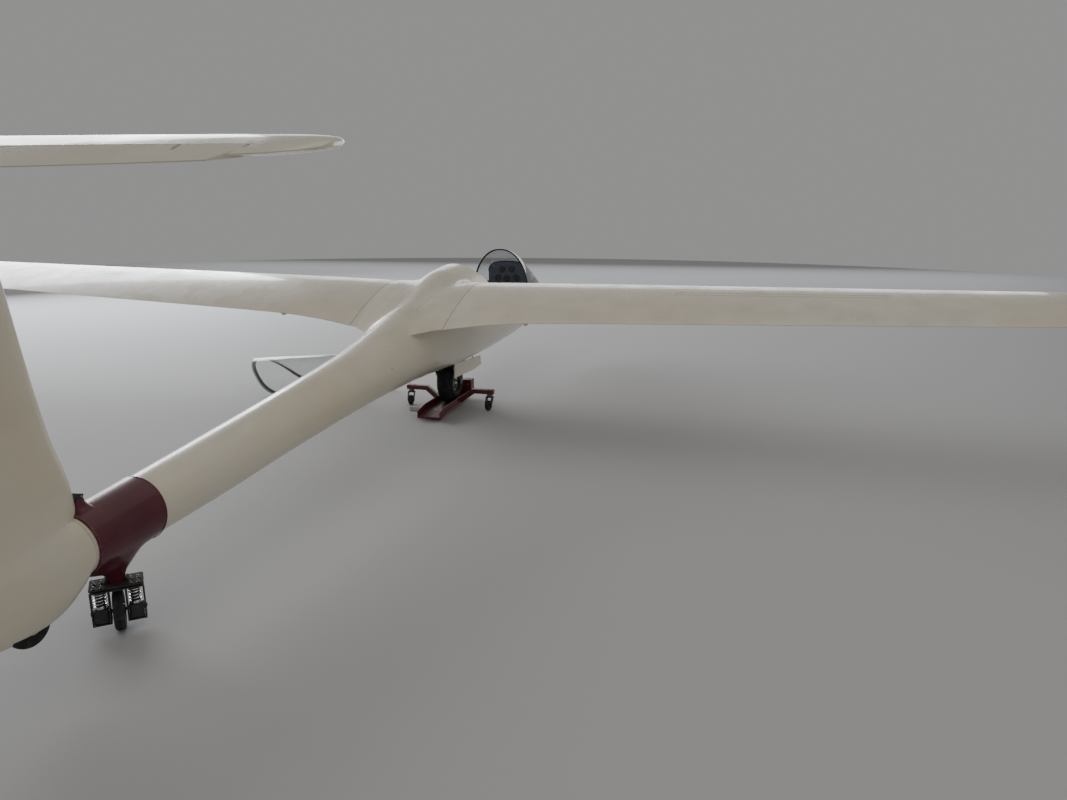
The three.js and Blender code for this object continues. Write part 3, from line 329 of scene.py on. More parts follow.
def carved(form, tools, operation="DIFFERENCE"):
    """The mesh of a form after cutting it with others, or joining or sharing space with them."""
    work = linked("work", working_mesh(form))
    for tool in map(working_mesh, tools):
        cutter = linked("cutter", tool)
        cut = work.modifiers.new("cut", "BOOLEAN")
        cut.operation = operation
        cut.solver = "EXACT"
        cut.material_mode = "INDEX"
        cut.object = cutter
        bpy.context.view_layer.update()
        result = bpy.data.meshes.new_from_object(work.evaluated_get(bpy.context.evaluated_depsgraph_get()))
        work.modifiers.clear()
        work.data = result
        bpy.data.objects.remove(cutter)
        bpy.data.meshes.remove(tool)
    result = work.data
    bpy.data.objects.remove(work)
    return result


# %% [markdown]
# ## Floor and light
# The glider stands in a plain pale studio. In the photograph the daylight comes in low from the left, in
# front of the port wing, so the rims of boom, collar and wing shine there and the near flanks stay soft and
# shaded. One wide soft panel gives that side light, a second ahead of the nose draws the bright edges, and
# a dim one overhead fills the top. A weak fourth one to starboard keeps the shaded side of the tail
# readable.

# %% Pale floor
FLOOR_RADIUS = 18.0
floor_paint = bpy.data.materials.new("pale floor")
floor_paint.use_nodes = True
floor_shader = floor_paint.node_tree.nodes["Principled BSDF"]
floor_shader.inputs["Base Color"].default_value = (0.47, 0.47, 0.475, 1)
floor_shader.inputs["Roughness"].default_value = 0.75

floor_mesh = bpy.data.meshes.new("floor")
rim = [(FLOOR_RADIUS * math.cos(a), FLOOR_RADIUS * math.sin(a), 0)
       for a in np.linspace(0, 2 * np.pi, 97)[:-1]]
floor_mesh.from_pydata(rim, [], [tuple(range(len(rim)))])
floor_mesh.materials.append(floor_paint)
floor = linked("floor", floor_mesh)

# %% Soft studio lights
world = bpy.data.worlds.new("pale room")
world.use_nodes = True
world.node_tree.nodes["Background"].inputs["Color"].default_value = (0.97, 0.96, 0.95, 1)
world.node_tree.nodes["Background"].inputs["Strength"].default_value = 0.31
bpy.context.scene.world = world

DAY, LAMP = (0.93, 0.96, 1.0), (1.0, 0.93, 0.82)
# Columns: name, place, point it looks at, width, height, power in watts, colour
LIGHTS = [
    ("door daylight", (9.5, -5.0, 3.6), (0.0, 0.5, 0.6), 9.0, 4.0, 950, DAY),
    ("daylight ahead", (2.0, -15.0, 4.2), (0.0, 0.5, 0.8), 22.0, 5.0, 650, DAY),
    ("overhead panel", (-1.0, 0.5, 7.0), (0.0, 0.5, 0.0), 10.0, 10.0, 120, LAMP),
    ("starboard fill", (-7.5, 6.5, 3.5), (0.0, 1.5, 0.6), 5.0, 3.0, 40, LAMP),
]
for name, place, target, width, height, power, colour in LIGHTS:
    panel = bpy.data.lights.new(name, "AREA")
    panel.shape = "RECTANGLE"
    panel.size, panel.size_y, panel.energy, panel.color = width, height, power, colour
    light = linked(name, panel)
    light.location = place
    light.visible_camera = False
    light.rotation_euler = (Vector(target) - Vector(place)).to_track_quat("-Z", "Y").to_euler()
print("lights:", len(LIGHTS))

# %% [markdown]
# ## Finishes
# No finish is one flat colour. Each is built from noise at the size the real one has: slow clouds of colour
# over a metre, dust and wear over centimetres, and the grain of the surface itself over a millimetre or
# less. The same noise also drives roughness and bump, so that a scuff is both duller and a little lower.

# %% A small kit for procedural finishes
class Finish:
    """A material with its object coordinates, and short calls for the nodes that a finish needs."""

    def __init__(self, name, **surface):
        self.material = bpy.data.materials.new(name)
        self.material.use_nodes = True
        self.nodes = self.material.node_tree.nodes
        self.links = self.material.node_tree.links
        self.shader = self.nodes["Principled BSDF"]
        self.coords = self.nodes.new("ShaderNodeTexCoord").outputs["Object"]
        self.last_bump = None
        for socket, value in surface.items():
            self.shader.inputs[socket.replace("_", " ")].default_value = value

    def feed(self, socket, value):
        if isinstance(value, (int, float, tuple)):
            socket.default_value = value
        else:
            self.links.new(value, socket)

    def node(self, kind, **inputs):
        """A node with its inputs fed: numbers stay on the socket, outputs of other nodes are linked."""
        node = self.nodes.new("ShaderNode" + kind)
        for name, value in inputs.items():
            self.feed(node.inputs[name.replace("_", " ")], value)
        return node

    def noise(self, scale, detail=3.0, roughness=0.55, stretch=None):
        place = self.coords
        if stretch:
            place = self.node("Mapping", Scale=stretch, Vector=place).outputs["Vector"]
        return self.node("TexNoise", Scale=scale, Detail=detail, Roughness=roughness,
                         Vector=place).outputs["Fac"]

    def cells(self, scale, feature="F1"):
        node = self.node("TexVoronoi", Scale=scale, Vector=self.coords)
        node.feature = feature
        return node.outputs["Distance"]

    def weave(self, scale, distortion=0.0, second="Y"):
        """Two sets of waves across each other, as in woven cloth."""
        sets = [self.node("TexWave", Scale=scale, Distortion=distortion, Vector=self.coords)
                for _ in range(2)]
        sets[0].bands_direction, sets[1].bands_direction = "X", second
        return self.math("MULTIPLY", sets[0].outputs["Fac"], sets[1].outputs["Fac"])

    def span(self, value, low, high, to_low=0.0, to_high=1.0):
        return self.node("MapRange", Value=value, From_Min=low, From_Max=high, To_Min=to_low,
                         To_Max=to_high).outputs["Result"]

    def math(self, operation, a, b=0.0):
        node = self.nodes.new("ShaderNodeMath")
        node.operation = operation
        node.use_clamp = True
        self.feed(node.inputs[0], a)
        self.feed(node.inputs[1], b)
        return node.outputs["Value"]

    def mix(self, share, a, b):
        node = self.nodes.new("ShaderNodeMix")
        node.data_type = "RGBA"
        self.feed(node.inputs["Factor"], share)
        for socket, colour in ((node.inputs["A"], a), (node.inputs["B"], b)):
            self.feed(socket, (*colour, 1.0) if isinstance(colour, tuple) and len(colour) == 3 else colour)
        return node.outputs["Result"]

    def clouds(self, a, b, scale, detail, low, high, most=1.0):
        """Patches of colour b in colour a, at most a share of it."""
        return self.mix(self.span(self.noise(scale, detail), low, high, 0.0, most), a, b)

    def facing_up(self):
        normal = self.nodes.new("ShaderNodeNewGeometry").outputs["Normal"]
        return self.node("SeparateXYZ", Vector=normal).outputs["Z"]

    def height(self):
        return self.node("SeparateXYZ", Vector=self.coords).outputs["Z"]

    def edges(self, radius=0.0015):
        """Bright where the surface bends sharply, for worn edges."""
        bevel = self.node("Bevel", Radius=radius)
        bevel.samples = 4
        dot = self.nodes.new("ShaderNodeVectorMath")
        dot.operation = "DOT_PRODUCT"
        self.links.new(bevel.outputs["Normal"], dot.inputs[0])
        self.links.new(self.nodes.new("ShaderNodeNewGeometry").outputs["Normal"], dot.inputs[1])
        return self.span(dot.outputs["Value"], 0.995, 0.82)

    def worn_edges(self, radius, scale, low, high):
        """Worn edges, broken up by noise."""
        return self.math("MULTIPLY", self.edges(radius), self.span(self.noise(scale, 4), low, high))

    def dust(self, facing, scale, detail_roughness, low, high, most):
        """Dust in patches on what faces up."""
        patches = self.span(self.noise(scale, 6, detail_roughness), low, high, 0, most)
        return self.math("MULTIPLY", self.span(self.facing_up(), *facing), patches)

    def colour(self, value):
        self.feed(self.shader.inputs["Base Color"], value)

    def rough(self, value):
        self.feed(self.shader.inputs["Roughness"], value)

    def rough_patches(self, scale, detail, low, high, top=0.7):
        self.rough(self.span(self.noise(scale, detail), 0.3, top, low, high))

    def bump(self, value, distance, strength=1.0):
        """Bumps stack: each new one lies on the last. The distance is in metres."""
        node = self.node("Bump", Distance=distance, Strength=strength, Height=value)
        if self.last_bump:
            self.links.new(self.last_bump, node.inputs["Normal"])
        self.last_bump = node.outputs["Normal"]
        self.links.new(self.last_bump, self.shader.inputs["Normal"])


def mottled(name, colours, clouds, sheen, bump, **surface):
    """A plain finish of two colours.

    Clouds and sheen are scale, detail, low, high. Bump is scale, detail, distance, strength.
    """
    f = Finish(name, **surface)
    f.colour(f.clouds(*colours, *clouds))
    f.rough_patches(*sheen)
    if bump:
        f.bump(f.noise(*bump[:2]), *bump[2:])
    return f.material


def toned(colour, share):
    return tuple(c * share for c in colour)


# %% [markdown]
# ### Cream gelcoat
# The wings and fuselage are glass fibre laid in polished moulds, with a warm white gelcoat that yellows a
# little. It shines, but its long surfaces are never quite true: they hold slow waves, and dust from the
# shed lies on top.

# %% Gelcoat, inside paint and seams
def gelcoat_finish(name, cream, dust_share=0.55):
    f = Finish(name, Coat_Weight=0.35, Coat_Roughness=0.07, Specular_IOR_Level=0.45)
    yellowed = tuple(c * k for c, k in zip(cream, (0.955, 0.93, 0.86)))
    body = f.clouds(cream, yellowed, 1.3, 2, 0.35, 0.7)
    body = f.clouds(body, toned(cream, 0.8), 240, 2, 0.66, 0.78, 0.5)
    dust = f.math("MULTIPLY", f.dust((0.25, 0.95), 5.5, 0.62, 0.38, 0.72, 1.0), dust_share)
    streaks = f.span(f.noise(9, 4, 0.6, stretch=(1, 0.14, 1)), 0.56, 0.75, 0, 0.16)
    body = f.mix(streaks, body, (0.47, 0.43, 0.35))
    f.colour(f.mix(dust, body, (0.50, 0.465, 0.40)))
    f.rough(f.math("ADD", f.span(f.noise(3.5, 4), 0.3, 0.7, 0.17, 0.27), f.math("MULTIPLY", dust, 0.4)))
    f.bump(f.noise(2.2, 2), 0.0045, 0.30)
    f.bump(f.noise(38, 3), 0.0004, 0.22)
    f.bump(f.noise(900, 2), 0.00006, 0.35)
    return f.material


def inside_paint(name):
    """Grey speckled paint sprayed over bare glass cloth inside the cabin."""
    f = Finish(name)
    base = f.clouds((0.40, 0.405, 0.40), (0.30, 0.305, 0.30), 6, 4, 0.35, 0.7)
    f.colour(f.mix(f.span(f.cells(420), 0.0, 0.42), (0.16, 0.165, 0.17), base))
    f.rough_patches(30, 3, 0.62, 0.82)
    f.bump(f.weave(190), 0.0004, 0.5)
    f.bump(f.noise(160, 3), 0.0004, 0.5)
    return f.material


GELCOAT = gelcoat_finish("cream gelcoat", (0.72, 0.672, 0.56))
GELCOAT_TAIL = gelcoat_finish("cream gelcoat of the tail", (0.71, 0.665, 0.56), 0.4)
CABIN_PAINT = inside_paint("grey cabin paint")
# Dark lines for seams and gaps: partly dirt, partly the painted shade of a narrow gap.
SEAM = mottled("seam shadow", ((0.10, 0.095, 0.085), (0.26, 0.245, 0.21)), (70, 3, 0.4, 0.7),
               (50, 2, 0.6, 0.9), (300, 2, 0.0003, 0.4))

# %% [markdown]
# ### Acrylic
# The canopy is blown clear acrylic. From the side it is almost not there; at a grazing look it turns into a
# pale bright skin. A full glass shader would darken what lies behind it, so a thin pale coat mixed by the
# angle is used: towards a grazing look it is a painted reflection, and scratches and dust add a real haze.

# %% Clear canopy
def acrylic_finish(name, haze_and_reflection_tone, clear, scratch=0.05):
    f = Finish(name, Specular_IOR_Level=0.7, Coat_Weight=0.6, Coat_Roughness=0.03)
    grazing = f.node("LayerWeight", Blend=0.22).outputs["Facing"]
    fine = f.math("MULTIPLY", f.span(f.noise(60, 5, 0.7, stretch=(1, 0.2, 1)), 0.52, 0.75), scratch)
    dust = f.math("MULTIPLY", f.span(f.noise(14, 5, 0.6), 0.45, 0.75), 0.03)
    # The cover is a painted reflection that grows towards a grazing look, plus a real haze of scratches and
    # dust.
    cover = f.math("ADD", f.span(grazing, 0.05, 1.0, clear, 0.62), f.math("ADD", fine, dust))
    f.feed(f.shader.inputs["Alpha"], cover)
    # Its pale tone is the colour of that painted reflection and of the haze.
    f.colour(f.clouds(haze_and_reflection_tone, toned(haze_and_reflection_tone, 0.93), 3, 2, 0.3, 0.7))
    f.rough_patches(40, 3, 0.03, 0.09, 0.75)
    f.bump(f.noise(3.0, 1), 0.0012, 0.12)
    return f.material


ACRYLIC = acrylic_finish("clear acrylic", (0.42, 0.45, 0.47), 0.05)
ACRYLIC_EDGE = acrylic_finish("milky acrylic edge", (0.66, 0.70, 0.71), 0.42, 0.12)

# %% [markdown]
# ### Frames, panel and rubber
# Satin black frames scuff grey at their edges. The instrument panel is sprayed in a dark slate wrinkle
# paint that kills reflections in the canopy. Rubber is never black: it greys with dust in its grooves and
# on its sides.

# %% Black frame, panel, rubber
def satin_black(name):
    f = Finish(name)
    base = f.clouds((0.020, 0.021, 0.024), (0.042, 0.043, 0.046), 12, 4, 0.3, 0.75)
    f.colour(f.mix(f.worn_edges(0.0018, 60, 0.42, 0.62), base, (0.17, 0.17, 0.17)))
    f.rough_patches(25, 4, 0.34, 0.55, 0.75)
    f.bump(f.noise(420, 2), 0.00015, 0.5)
    return f.material


def wrinkle_slate(name):
    f = Finish(name)
    wrinkle = f.cells(560, "SMOOTH_F1")
    base = f.clouds((0.085, 0.103, 0.142), (0.115, 0.137, 0.178), 10, 4, 0.3, 0.7)
    f.colour(f.clouds(base, (0.23, 0.24, 0.26), 35, 5, 0.60, 0.78, 0.5))
    f.rough(f.span(wrinkle, 0.1, 0.6, 0.55, 0.75))
    f.bump(wrinkle, 0.0006, 0.6)
    return f.material


def rubber_finish(name, black, dust, dust_low, dust_high, grain=500):
    """Rubber with dust in patches, and more of it on the lowest 16 cm above the floor."""
    f = Finish(name, Specular_IOR_Level=0.3)
    cover = f.span(f.noise(22, 6, 0.65), dust_low, dust_high, 0, 0.75)
    low = f.math("MULTIPLY", f.span(f.height(), 0.16, 0.03, 0, 0.25), f.span(f.noise(60, 3), 0.3, 0.7))
    f.colour(f.mix(f.math("ADD", cover, low), black, dust))
    f.rough_patches(45, 4, 0.62, 0.88)
    f.bump(f.noise(grain, 3), 0.0003, 0.5)
    f.bump(f.noise(60, 3), 0.0006, 0.25)
    return f.material


SATIN_BLACK = satin_black("satin black frame")
SLATE = wrinkle_slate("slate wrinkle paint")
TYRE_RUBBER = rubber_finish("tyre rubber", (0.018, 0.019, 0.021), (0.12, 0.115, 0.105), 0.5, 0.85)
CASTOR_RUBBER = rubber_finish("castor rubber", (0.020, 0.021, 0.024), (0.14, 0.135, 0.125), 0.52, 0.86, 700)

# %% [markdown]
# ### Steel, aluminium and the dark red dollies
# The tail collar is a polished laminate in a deep maroon. The dolly under the main wheel is welded from
# sheet and tube and brushed with dark red enamel, which chips to primer and bare metal where tyres and
# boots rub it.

# %% Maroon laminate, enamel and metals
def maroon_laminate(name):
    f = Finish(name, Coat_Weight=0.22, Coat_Roughness=0.12, Specular_IOR_Level=0.28)
    base = f.clouds((0.112, 0.022, 0.036), (0.086, 0.017, 0.028), 7, 4, 0.3, 0.7)
    dust = f.dust((0.2, 1.0), 16, 0.65, 0.4, 0.75, 0.12)
    scuff = f.span(f.noise(55, 5, 0.7, stretch=(1, 0.25, 1)), 0.68, 0.80, 0, 0.22)
    body = f.mix(f.math("ADD", dust, scuff), base, (0.20, 0.105, 0.105))
    f.colour(f.mix(f.worn_edges(0.003, 60, 0.45, 0.65), body, (0.36, 0.25, 0.22)))
    f.rough(f.math("ADD", f.span(f.noise(12, 4), 0.3, 0.7, 0.24, 0.36), f.math("MULTIPLY", dust, 0.8)))
    f.bump(f.noise(9, 3), 0.0012, 0.3)
    f.bump(f.noise(130, 3), 0.0003, 0.35)
    return f.material


def enamel(name, red, chips=0.66):
    """Brushed red paint, chipped to rust and primer where the noise passes `chips` and on the edges."""
    f = Finish(name, Coat_Weight=0.15, Coat_Roughness=0.3)
    base = f.clouds(red, toned(red, 0.62), 18, 4, 0.3, 0.7)
    brush = f.noise(90, 3, stretch=(1, 0.12, 1))
    worn = f.worn_edges(0.0022, 70, 0.40, 0.6)
    chip = f.math("ADD", f.span(f.noise(48, 6, 0.7), chips, chips + 0.04), worn)
    rusty = f.clouds((0.20, 0.085, 0.045), (0.24, 0.215, 0.20), 130, 3, 0.4, 0.6)
    dust = f.dust((0.3, 1.0), 24, 0.65, 0.42, 0.7, 0.45)
    f.colour(f.mix(dust, f.mix(chip, base, rusty), (0.30, 0.275, 0.24)))
    f.rough(f.math("ADD", f.span(brush, 0.3, 0.7, 0.34, 0.5), f.math("MULTIPLY", dust, 0.5)))
    f.bump(brush, 0.0004, 0.4)
    return f.material


def metal(name, colour, low, high, dull, dirt=0.5):
    f = Finish(name, Metallic=0.95)
    spots = f.span(f.noise(40, 6, 0.68), 0.52, 0.74, 0, dirt)
    f.colour(f.mix(spots, f.clouds(colour, toned(colour, 0.8), 15, 3, 0.3, 0.7), dull))
    f.rough(f.math("ADD", f.span(f.noise(150, 3), 0.3, 0.7, low, high), f.math("MULTIPLY", spots, 0.4)))
    f.bump(f.noise(260, 3), 0.0002, 0.4)
    return f.material


def black_paint(name, black=(0.016, 0.017, 0.020), low=0.32, coat=0.1, shine=0.5):
    f = Finish(name, Coat_Weight=coat, Coat_Roughness=0.3, Specular_IOR_Level=shine)
    base = f.clouds(black, (0.085, 0.08, 0.074), 30, 5, 0.5, 0.8, 0.7)
    f.colour(f.mix(f.worn_edges(0.002, 80, 0.44, 0.62), base, (0.22, 0.21, 0.20)))
    f.rough_patches(35, 4, low, low + 0.25, 0.75)
    f.bump(f.noise(240, 3), 0.0002, 0.5)
    return f.material


MAROON = maroon_laminate("maroon laminate")
ENAMEL = enamel("dark red enamel", (0.155, 0.022, 0.026))
ENAMEL_FLOOR = enamel("worn red enamel", (0.15, 0.035, 0.036), 0.55)
ZINC = metal("zinc plated steel", (0.50, 0.50, 0.49), 0.28, 0.45, (0.16, 0.13, 0.10))
SPRING_STEEL = metal("spring steel", (0.80, 0.80, 0.81), 0.14, 0.26, (0.12, 0.11, 0.10), dirt=0.25)
DULL_STEEL = black_paint("dull rusty plate", (0.050, 0.044, 0.040), 0.72, 0, 0.18)
WORN_ZINC = metal("worn zinc", (0.27, 0.265, 0.255), 0.4, 0.6, (0.07, 0.06, 0.05))
ALUMINIUM = metal("turned aluminium", (0.66, 0.67, 0.68), 0.24, 0.4, (0.20, 0.19, 0.18), dirt=0.4)
BLACK_STEEL = black_paint("black painted steel")
DARK_CASTING = black_paint("black casting", (0.026, 0.027, 0.030), 0.42)
print("finishes:", len(bpy.data.materials))

# %% [markdown]
# ## Fuselage
# The real shell is laid up in two mould halves from nose to fin. Its section changes from a tall egg at the
# cockpit to a circle in the boom. A subdivision surface over a few rings would be quick, but hard to keep
# on the measured outline, so the skin is lofted through many rings read from the same table as the CAD.

# %% Section table and rings
# Columns: station, bottom, widest height, top, half width, top power, bottom power
BODY = [
    (6140, 612, 620, 628, 7, 2, 2), (6105, 556, 622, 684, 56, 2, 2), (6000, 498, 630, 752, 110, 2, 2),
    (5800, 444, 644, 836, 168, 2, 2), (5500, 402, 668, 958, 218, 2.1, 2), (5200, 376, 690, 1074, 251, 2.1, 2),
    (4890, 360, 706, 1166, 274, 2.2, 2), (4500, 348, 716, 1180, 280, 2.2, 2),
    (4100, 340, 720, 1156, 278, 2.2, 2), (3710, 342, 716, 1122, 270, 2.1, 2.05),
    (3400, 352, 704, 1090, 262, 2.1, 2.1), (3190, 363, 688, 1040, 252, 2.05, 2.05),
    (2900, 378, 656, 942, 234, 2, 2), (2600, 389, 626, 862, 216, 2, 2), (2300, 390, 592, 794, 195, 2, 2),
    (1950, 384, 557, 730, 173, 2, 2), (1200, 351, 499, 646, 147.5, 2, 2), (500, 309, 443, 576, 133, 2, 2),
    (-172, 283, 397, 512, 115, 2, 2),
]
GAP = 0.3
AFT_END_OF_POD = 1950
AFT_END_OF_BOOM = -172
ROOT_JOINT = 332


def sections(table, stations, inset=0.0, sides=96):
    """Rings of a fuselage table: an oval whose upper and lower halves have their own fullness."""
    angle = 2 * np.pi * np.arange(sides) / sides
    c, s = np.cos(angle), np.sin(angle)
    rings = []
    for station, row in zip(stations, read_table(table, stations)):
        bottom, wide, top, half, top_power, bottom_power = row
        power = np.where(s >= 0, top_power, bottom_power)
        reach = np.where(s >= 0, top - inset - wide, wide - bottom - inset)
        x = np.sign(c) * np.abs(c) ** (2 / power) * (half - inset)
        z = wide + np.sign(s) * np.abs(s) ** (2 / power) * reach
        rings.append(np.column_stack([x, np.full(sides, y_of(station)), z]))
    return rings


def body_between(stations, inset=0.0, sides=96):
    return skin(sections(BODY, stations, inset, sides))


# %% [markdown]
# The wing root grows out of the body as a short stub with the wing's own section. Where the two skins
# cross, the real mould has a soft fillet. A bevel can't follow such a seam, so the points near it are
# relaxed step by step, as a file and wet paper would do, while the joint face stays where the wing meets
# it.

# %% Wing section
FOIL_CAMBER = 0.03
TAIL_THICKNESS = 3
# Columns: distance from centreline, leading edge station, chord, leading edge height, incidence, thickness
WING = [
    (ROOT_JOINT, 3502, 952, 950, 10.4, 0.17), (600, 3502, 915, 955, 8.9, 0.168),
    (860, 3502, 898, 959, 7.9, 0.165), (1450, 3500, 873, 969, 7.4, 0.162), (4300, 3478, 700, 1019, 6.8, 0.15),
    (6600, 3425, 500, 1060, 6.2, 0.138), (7250, 3395, 415, 1071, 6.0, 0.132),
    (7420, 3374, 345, 1074, 6.0, 0.13), (7500, 3330, 215, 1076, 6.0, 0.11),
]


def foil_half(x, thickness):
    polynomial = 0.2969 * np.sqrt(x) - 0.126 * x - 0.3516 * x ** 2 + 0.2843 * x ** 3 - 0.1036 * x ** 4
    return 5 * thickness * polynomial


def camber_line(x, camber, peak=0.42):
    front = camber / peak ** 2 * (2 * peak * x - x * x)
    back = camber / (1 - peak) ** 2 * (1 - 2 * peak + 2 * peak * x - x * x)
    return np.where(x < peak, front, back)


def foil_ring(chord, thickness, camber, grow=0.0, steps=40):
    """Distance along the chord and height, from the tail over the top to the nose and back below."""
    x = (1 + np.cos(np.pi * np.arange(steps + 1) / steps)) / 2
    over = (camber_line(x, camber) + foil_half(x, thickness)) * chord + TAIL_THICKNESS / 2 * x + grow
    under = (camber_line(x, camber) - foil_half(x, thickness)) * chord - TAIL_THICKNESS / 2 * x - grow
    along = np.concatenate([x, x[-2::-1]]) * chord
    return np.column_stack([along, np.concatenate([over, under[-2::-1]])])


def placed_ring(ring, x, nose, height, incidence):
    """A section set down at x, its nose at a station and height, turned by its incidence in degrees."""
    c, s = math.cos(math.radians(incidence)), math.sin(math.radians(incidence))
    return np.column_stack([np.full(len(ring), x), TAIL_CASTOR_Y - nose + ring[:, 0] * c + ring[:, 1] * s,
                            height - ring[:, 0] * s + ring[:, 1] * c])


def wing_ring(side, span, grow=0.0, steps=40):
    nose, chord, height, incidence, thickness = read_table(WING, span)[0]
    ring = foil_ring(chord, thickness, FOIL_CAMBER, grow, steps)
    return placed_ring(ring, side * span, nose, height, incidence)


# %% Relaxing a crossing into a fillet
def averaged(places, ends, share, rounds):
    """Each point moves its share of the way to the middle of its neighbours, round after round."""
    a, b = ends
    neighbours = np.maximum(np.bincount(np.concatenate([a, b]), minlength=len(places)), 1)[:, None]
    for _ in range(rounds):
        middle = np.zeros_like(places)
        np.add.at(middle, a, places[b])
        np.add.at(middle, b, places[a])
        places += (middle / neighbours - places) * share
    return places


def relaxed(mesh, reach, rounds, share_at):
    """Points within reach (mm) of the line where finish 0 meets finish 1 are smoothed, most at the line."""
    work = bmesh.new()
    work.from_mesh(mesh)
    bmesh.ops.remove_doubles(work, verts=work.verts, dist=0.0012)
    seam = [e for e in work.edges if len({f.material_index for f in e.link_faces}) > 1]
    line = kdtree.KDTree(len(seam) * 2)
    for i, vert in enumerate(v for e in seam for v in e.verts):
        line.insert(vert.co, i)
    line.balance()

    def away(place):
        return line.find(place)[2] * 1000

    near = [e for e in work.edges if away(e.verts[0].co) < reach and e.calc_length() > 0.013]
    bmesh.ops.subdivide_edges(work, edges=near, cuts=1, use_grid_fill=True)
    close = {f for f in work.faces if len(f.verts) != 4 and away(f.calc_center_median()) < reach * 1.4}
    bmesh.ops.triangulate(work, faces=list(close))
    work.verts.index_update()
    places = np.array([v.co for v in work.verts])
    ends = np.array([[v.index for v in e.verts] for e in work.edges]).T
    far = np.array([away(v.co) for v in work.verts])
    share = (np.cos(np.pi * np.clip(far / reach, 0, 1)) + 1) / 2
    share = 0.7 * share[:, None] * np.array([share_at(v.co * 1000) for v in work.verts])[:, None]
    for vert, place in zip(work.verts, averaged(places, ends, share, rounds)):
        vert.co = place
    for face in work.faces:
        face.material_index = 0
    bmesh.ops.recalc_face_normals(work, faces=work.faces)
    work.to_mesh(mesh)
    work.free()
    print("relaxed", int((share > 0.01).sum()), "points round the crossing")
    return mesh


# Columns: distance from centreline, how far the section grows beyond the wing root
STUB = [(ROOT_JOINT, 0, 0), (305, 6, 0.5), (275, 22, 0), (240, 50, -3), (195, 85, -8), (150, 120, -12),
        (90, 120, -14), (30, 120, -26)]


def stub_form(side):
    """The wing's own section, growing towards the middle of the body. Its faces take finish 1."""
    nose, chord, height, incidence, thickness = read_table(WING, ROOT_JOINT)[0]
    spans = np.concatenate([np.arange(30, 330, 12), [ROOT_JOINT]])
    rings = []
    for span, (flare, swell) in zip(spans, read_table(STUB, spans)):
        longer = chord + flare * 1.25
        ring = foil_ring(longer, thickness + 2 * swell / longer, FOIL_CAMBER, 0, 34)
        rings.append(placed_ring(ring, side * span, nose + flare * 0.25, height, incidence))
    return Form().add(skin(rings), 1)


# %% Cockpit opening, cabin and wheel bay
SILL = {"rear": (4000, 858), "front": (5900, 798)}
RIM_TOP, RIM_FOOT, RIM_CORNER = (3580, 1200), 3960, 130
CABIN_REAR, CABIN_FRONT, CABIN_WALL = 3985, 5860, 22
SHELF = {"rear": 3600, "front": 4020, "floor": 690}
BAY = {"rear": 3225, "front": 3925, "half": 106, "roof": 590}
ARCH_STATION, ARCH_WIDTH = 4890, 22


def sill_height(station):
    (s0, z0), (s1, z1) = SILL["rear"], SILL["front"]
    return z0 + (z1 - z0) * (station - s0) / (s1 - s0)


def opening_line(margin=0.0, front=6300):
    """The opening from the side, as stations and heights: down the rear rim and along the sill."""
    foot = Vector((RIM_FOOT + margin, sill_height(RIM_FOOT) + margin))
    up = (Vector((RIM_TOP[0] - RIM_FOOT, RIM_TOP[1] - foot.y))).normalized()
    ahead = Vector((1.0, sill_height(1) - sill_height(0))).normalized()
    a, b = foot + up * RIM_CORNER, foot + ahead * RIM_CORNER
    curve = [a * (1 - t) ** 2 + foot * 2 * t * (1 - t) + b * t * t for t in np.linspace(0, 1, 24)]
    top = foot + up * ((1400 - foot.y) / up.y)
    return [tuple(top)] + [tuple(p) for p in curve] + [(front, sill_height(front) + margin)]


def side_solid(outline, x0, x1, finish=0):
    """An outline of stations and heights, drawn out across the glider."""
    return Form().add(outline_solid([(y_of(s), z) for s, z in outline], "x", x0, x1), finish)


def station_block(x0, x1, s0, s1, z0, z1, finish=0):
    return side_solid([(s0, z0), (s1, z0), (s1, z1), (s0, z1)], x0, x1, finish)


nose_stations = [6140, 6137, 6131, 6122, 6108, 6090, 6068, 6040, 6008, 5970, 5930]
pod_stations = [*nose_stations, *np.arange(5890, 3660, -40), *np.arange(3650, 2440, -15),
                *np.arange(2430, AFT_END_OF_POD + 20, -40), AFT_END_OF_POD]

pod = carved(body_between(pod_stations), [stub_form(side) for side in (1, -1)], "UNION")


def fillet_share(p):
    """Full along the root, none at the joint with the wing, little at the thin trailing edge."""
    flare = read_table(STUB, min(max(abs(p.x), 30), ROOT_JOINT))[0][0]
    from_tail = abs(p.y - (TAIL_CASTOR_Y - 2565 + flare))
    return float(np.clip((327 - abs(p.x)) / 40, 0, 1) * np.clip(from_tail / 90, 0.12, 1))


pod = relaxed(pod, 75, 60, fillet_share)

cabin_stations = [CABIN_REAR, *np.arange(4040, 5840, 60), CABIN_FRONT]
cabin_form = Form().add(body_between(cabin_stations, CABIN_WALL, 80), 1)
shelf = carved(body_between(np.arange(SHELF["rear"], SHELF["front"] + 1, 60), CABIN_WALL, 80),
               [station_block(-400, 400, 3590, 4030, SHELF["floor"], 1400)], "INTERSECT")
shelf.polygons.foreach_set("material_index", [1] * len(shelf.polygons))
bay_form = station_block(-BAY["half"], BAY["half"], BAY["rear"], BAY["front"], 200, BAY["roof"], 1)
opening = side_solid(opening_line() + [(6300, 1400)], -450, 450)
pod = carved(pod, [opening, cabin_form, shelf, bay_form])
piece("fuselage_shell", pod, "airframe", [GELCOAT, CABIN_PAINT], ["fuselage_pod"], angle=28)

boom_stations = [AFT_END_OF_POD - GAP, *np.arange(1900, -160, -50), AFT_END_OF_BOOM]
piece("boom_shell", body_between(boom_stations), "airframe", GELCOAT, ["tail_boom"])
print("fuselage shell:", len(pod.polygons), "faces")

# %% [markdown]
# ## Wings and ailerons
# Each wing panel slides on to the stub with two spar ends. Its trailing edge carries an aileron on three
# small hinges, and the gap on top is closed by a pale tape. The panel could be one plane with a solidify
# modifier, but the shine of a wing depends on its exact section, so the rings are lofted at forty steps a
# side.

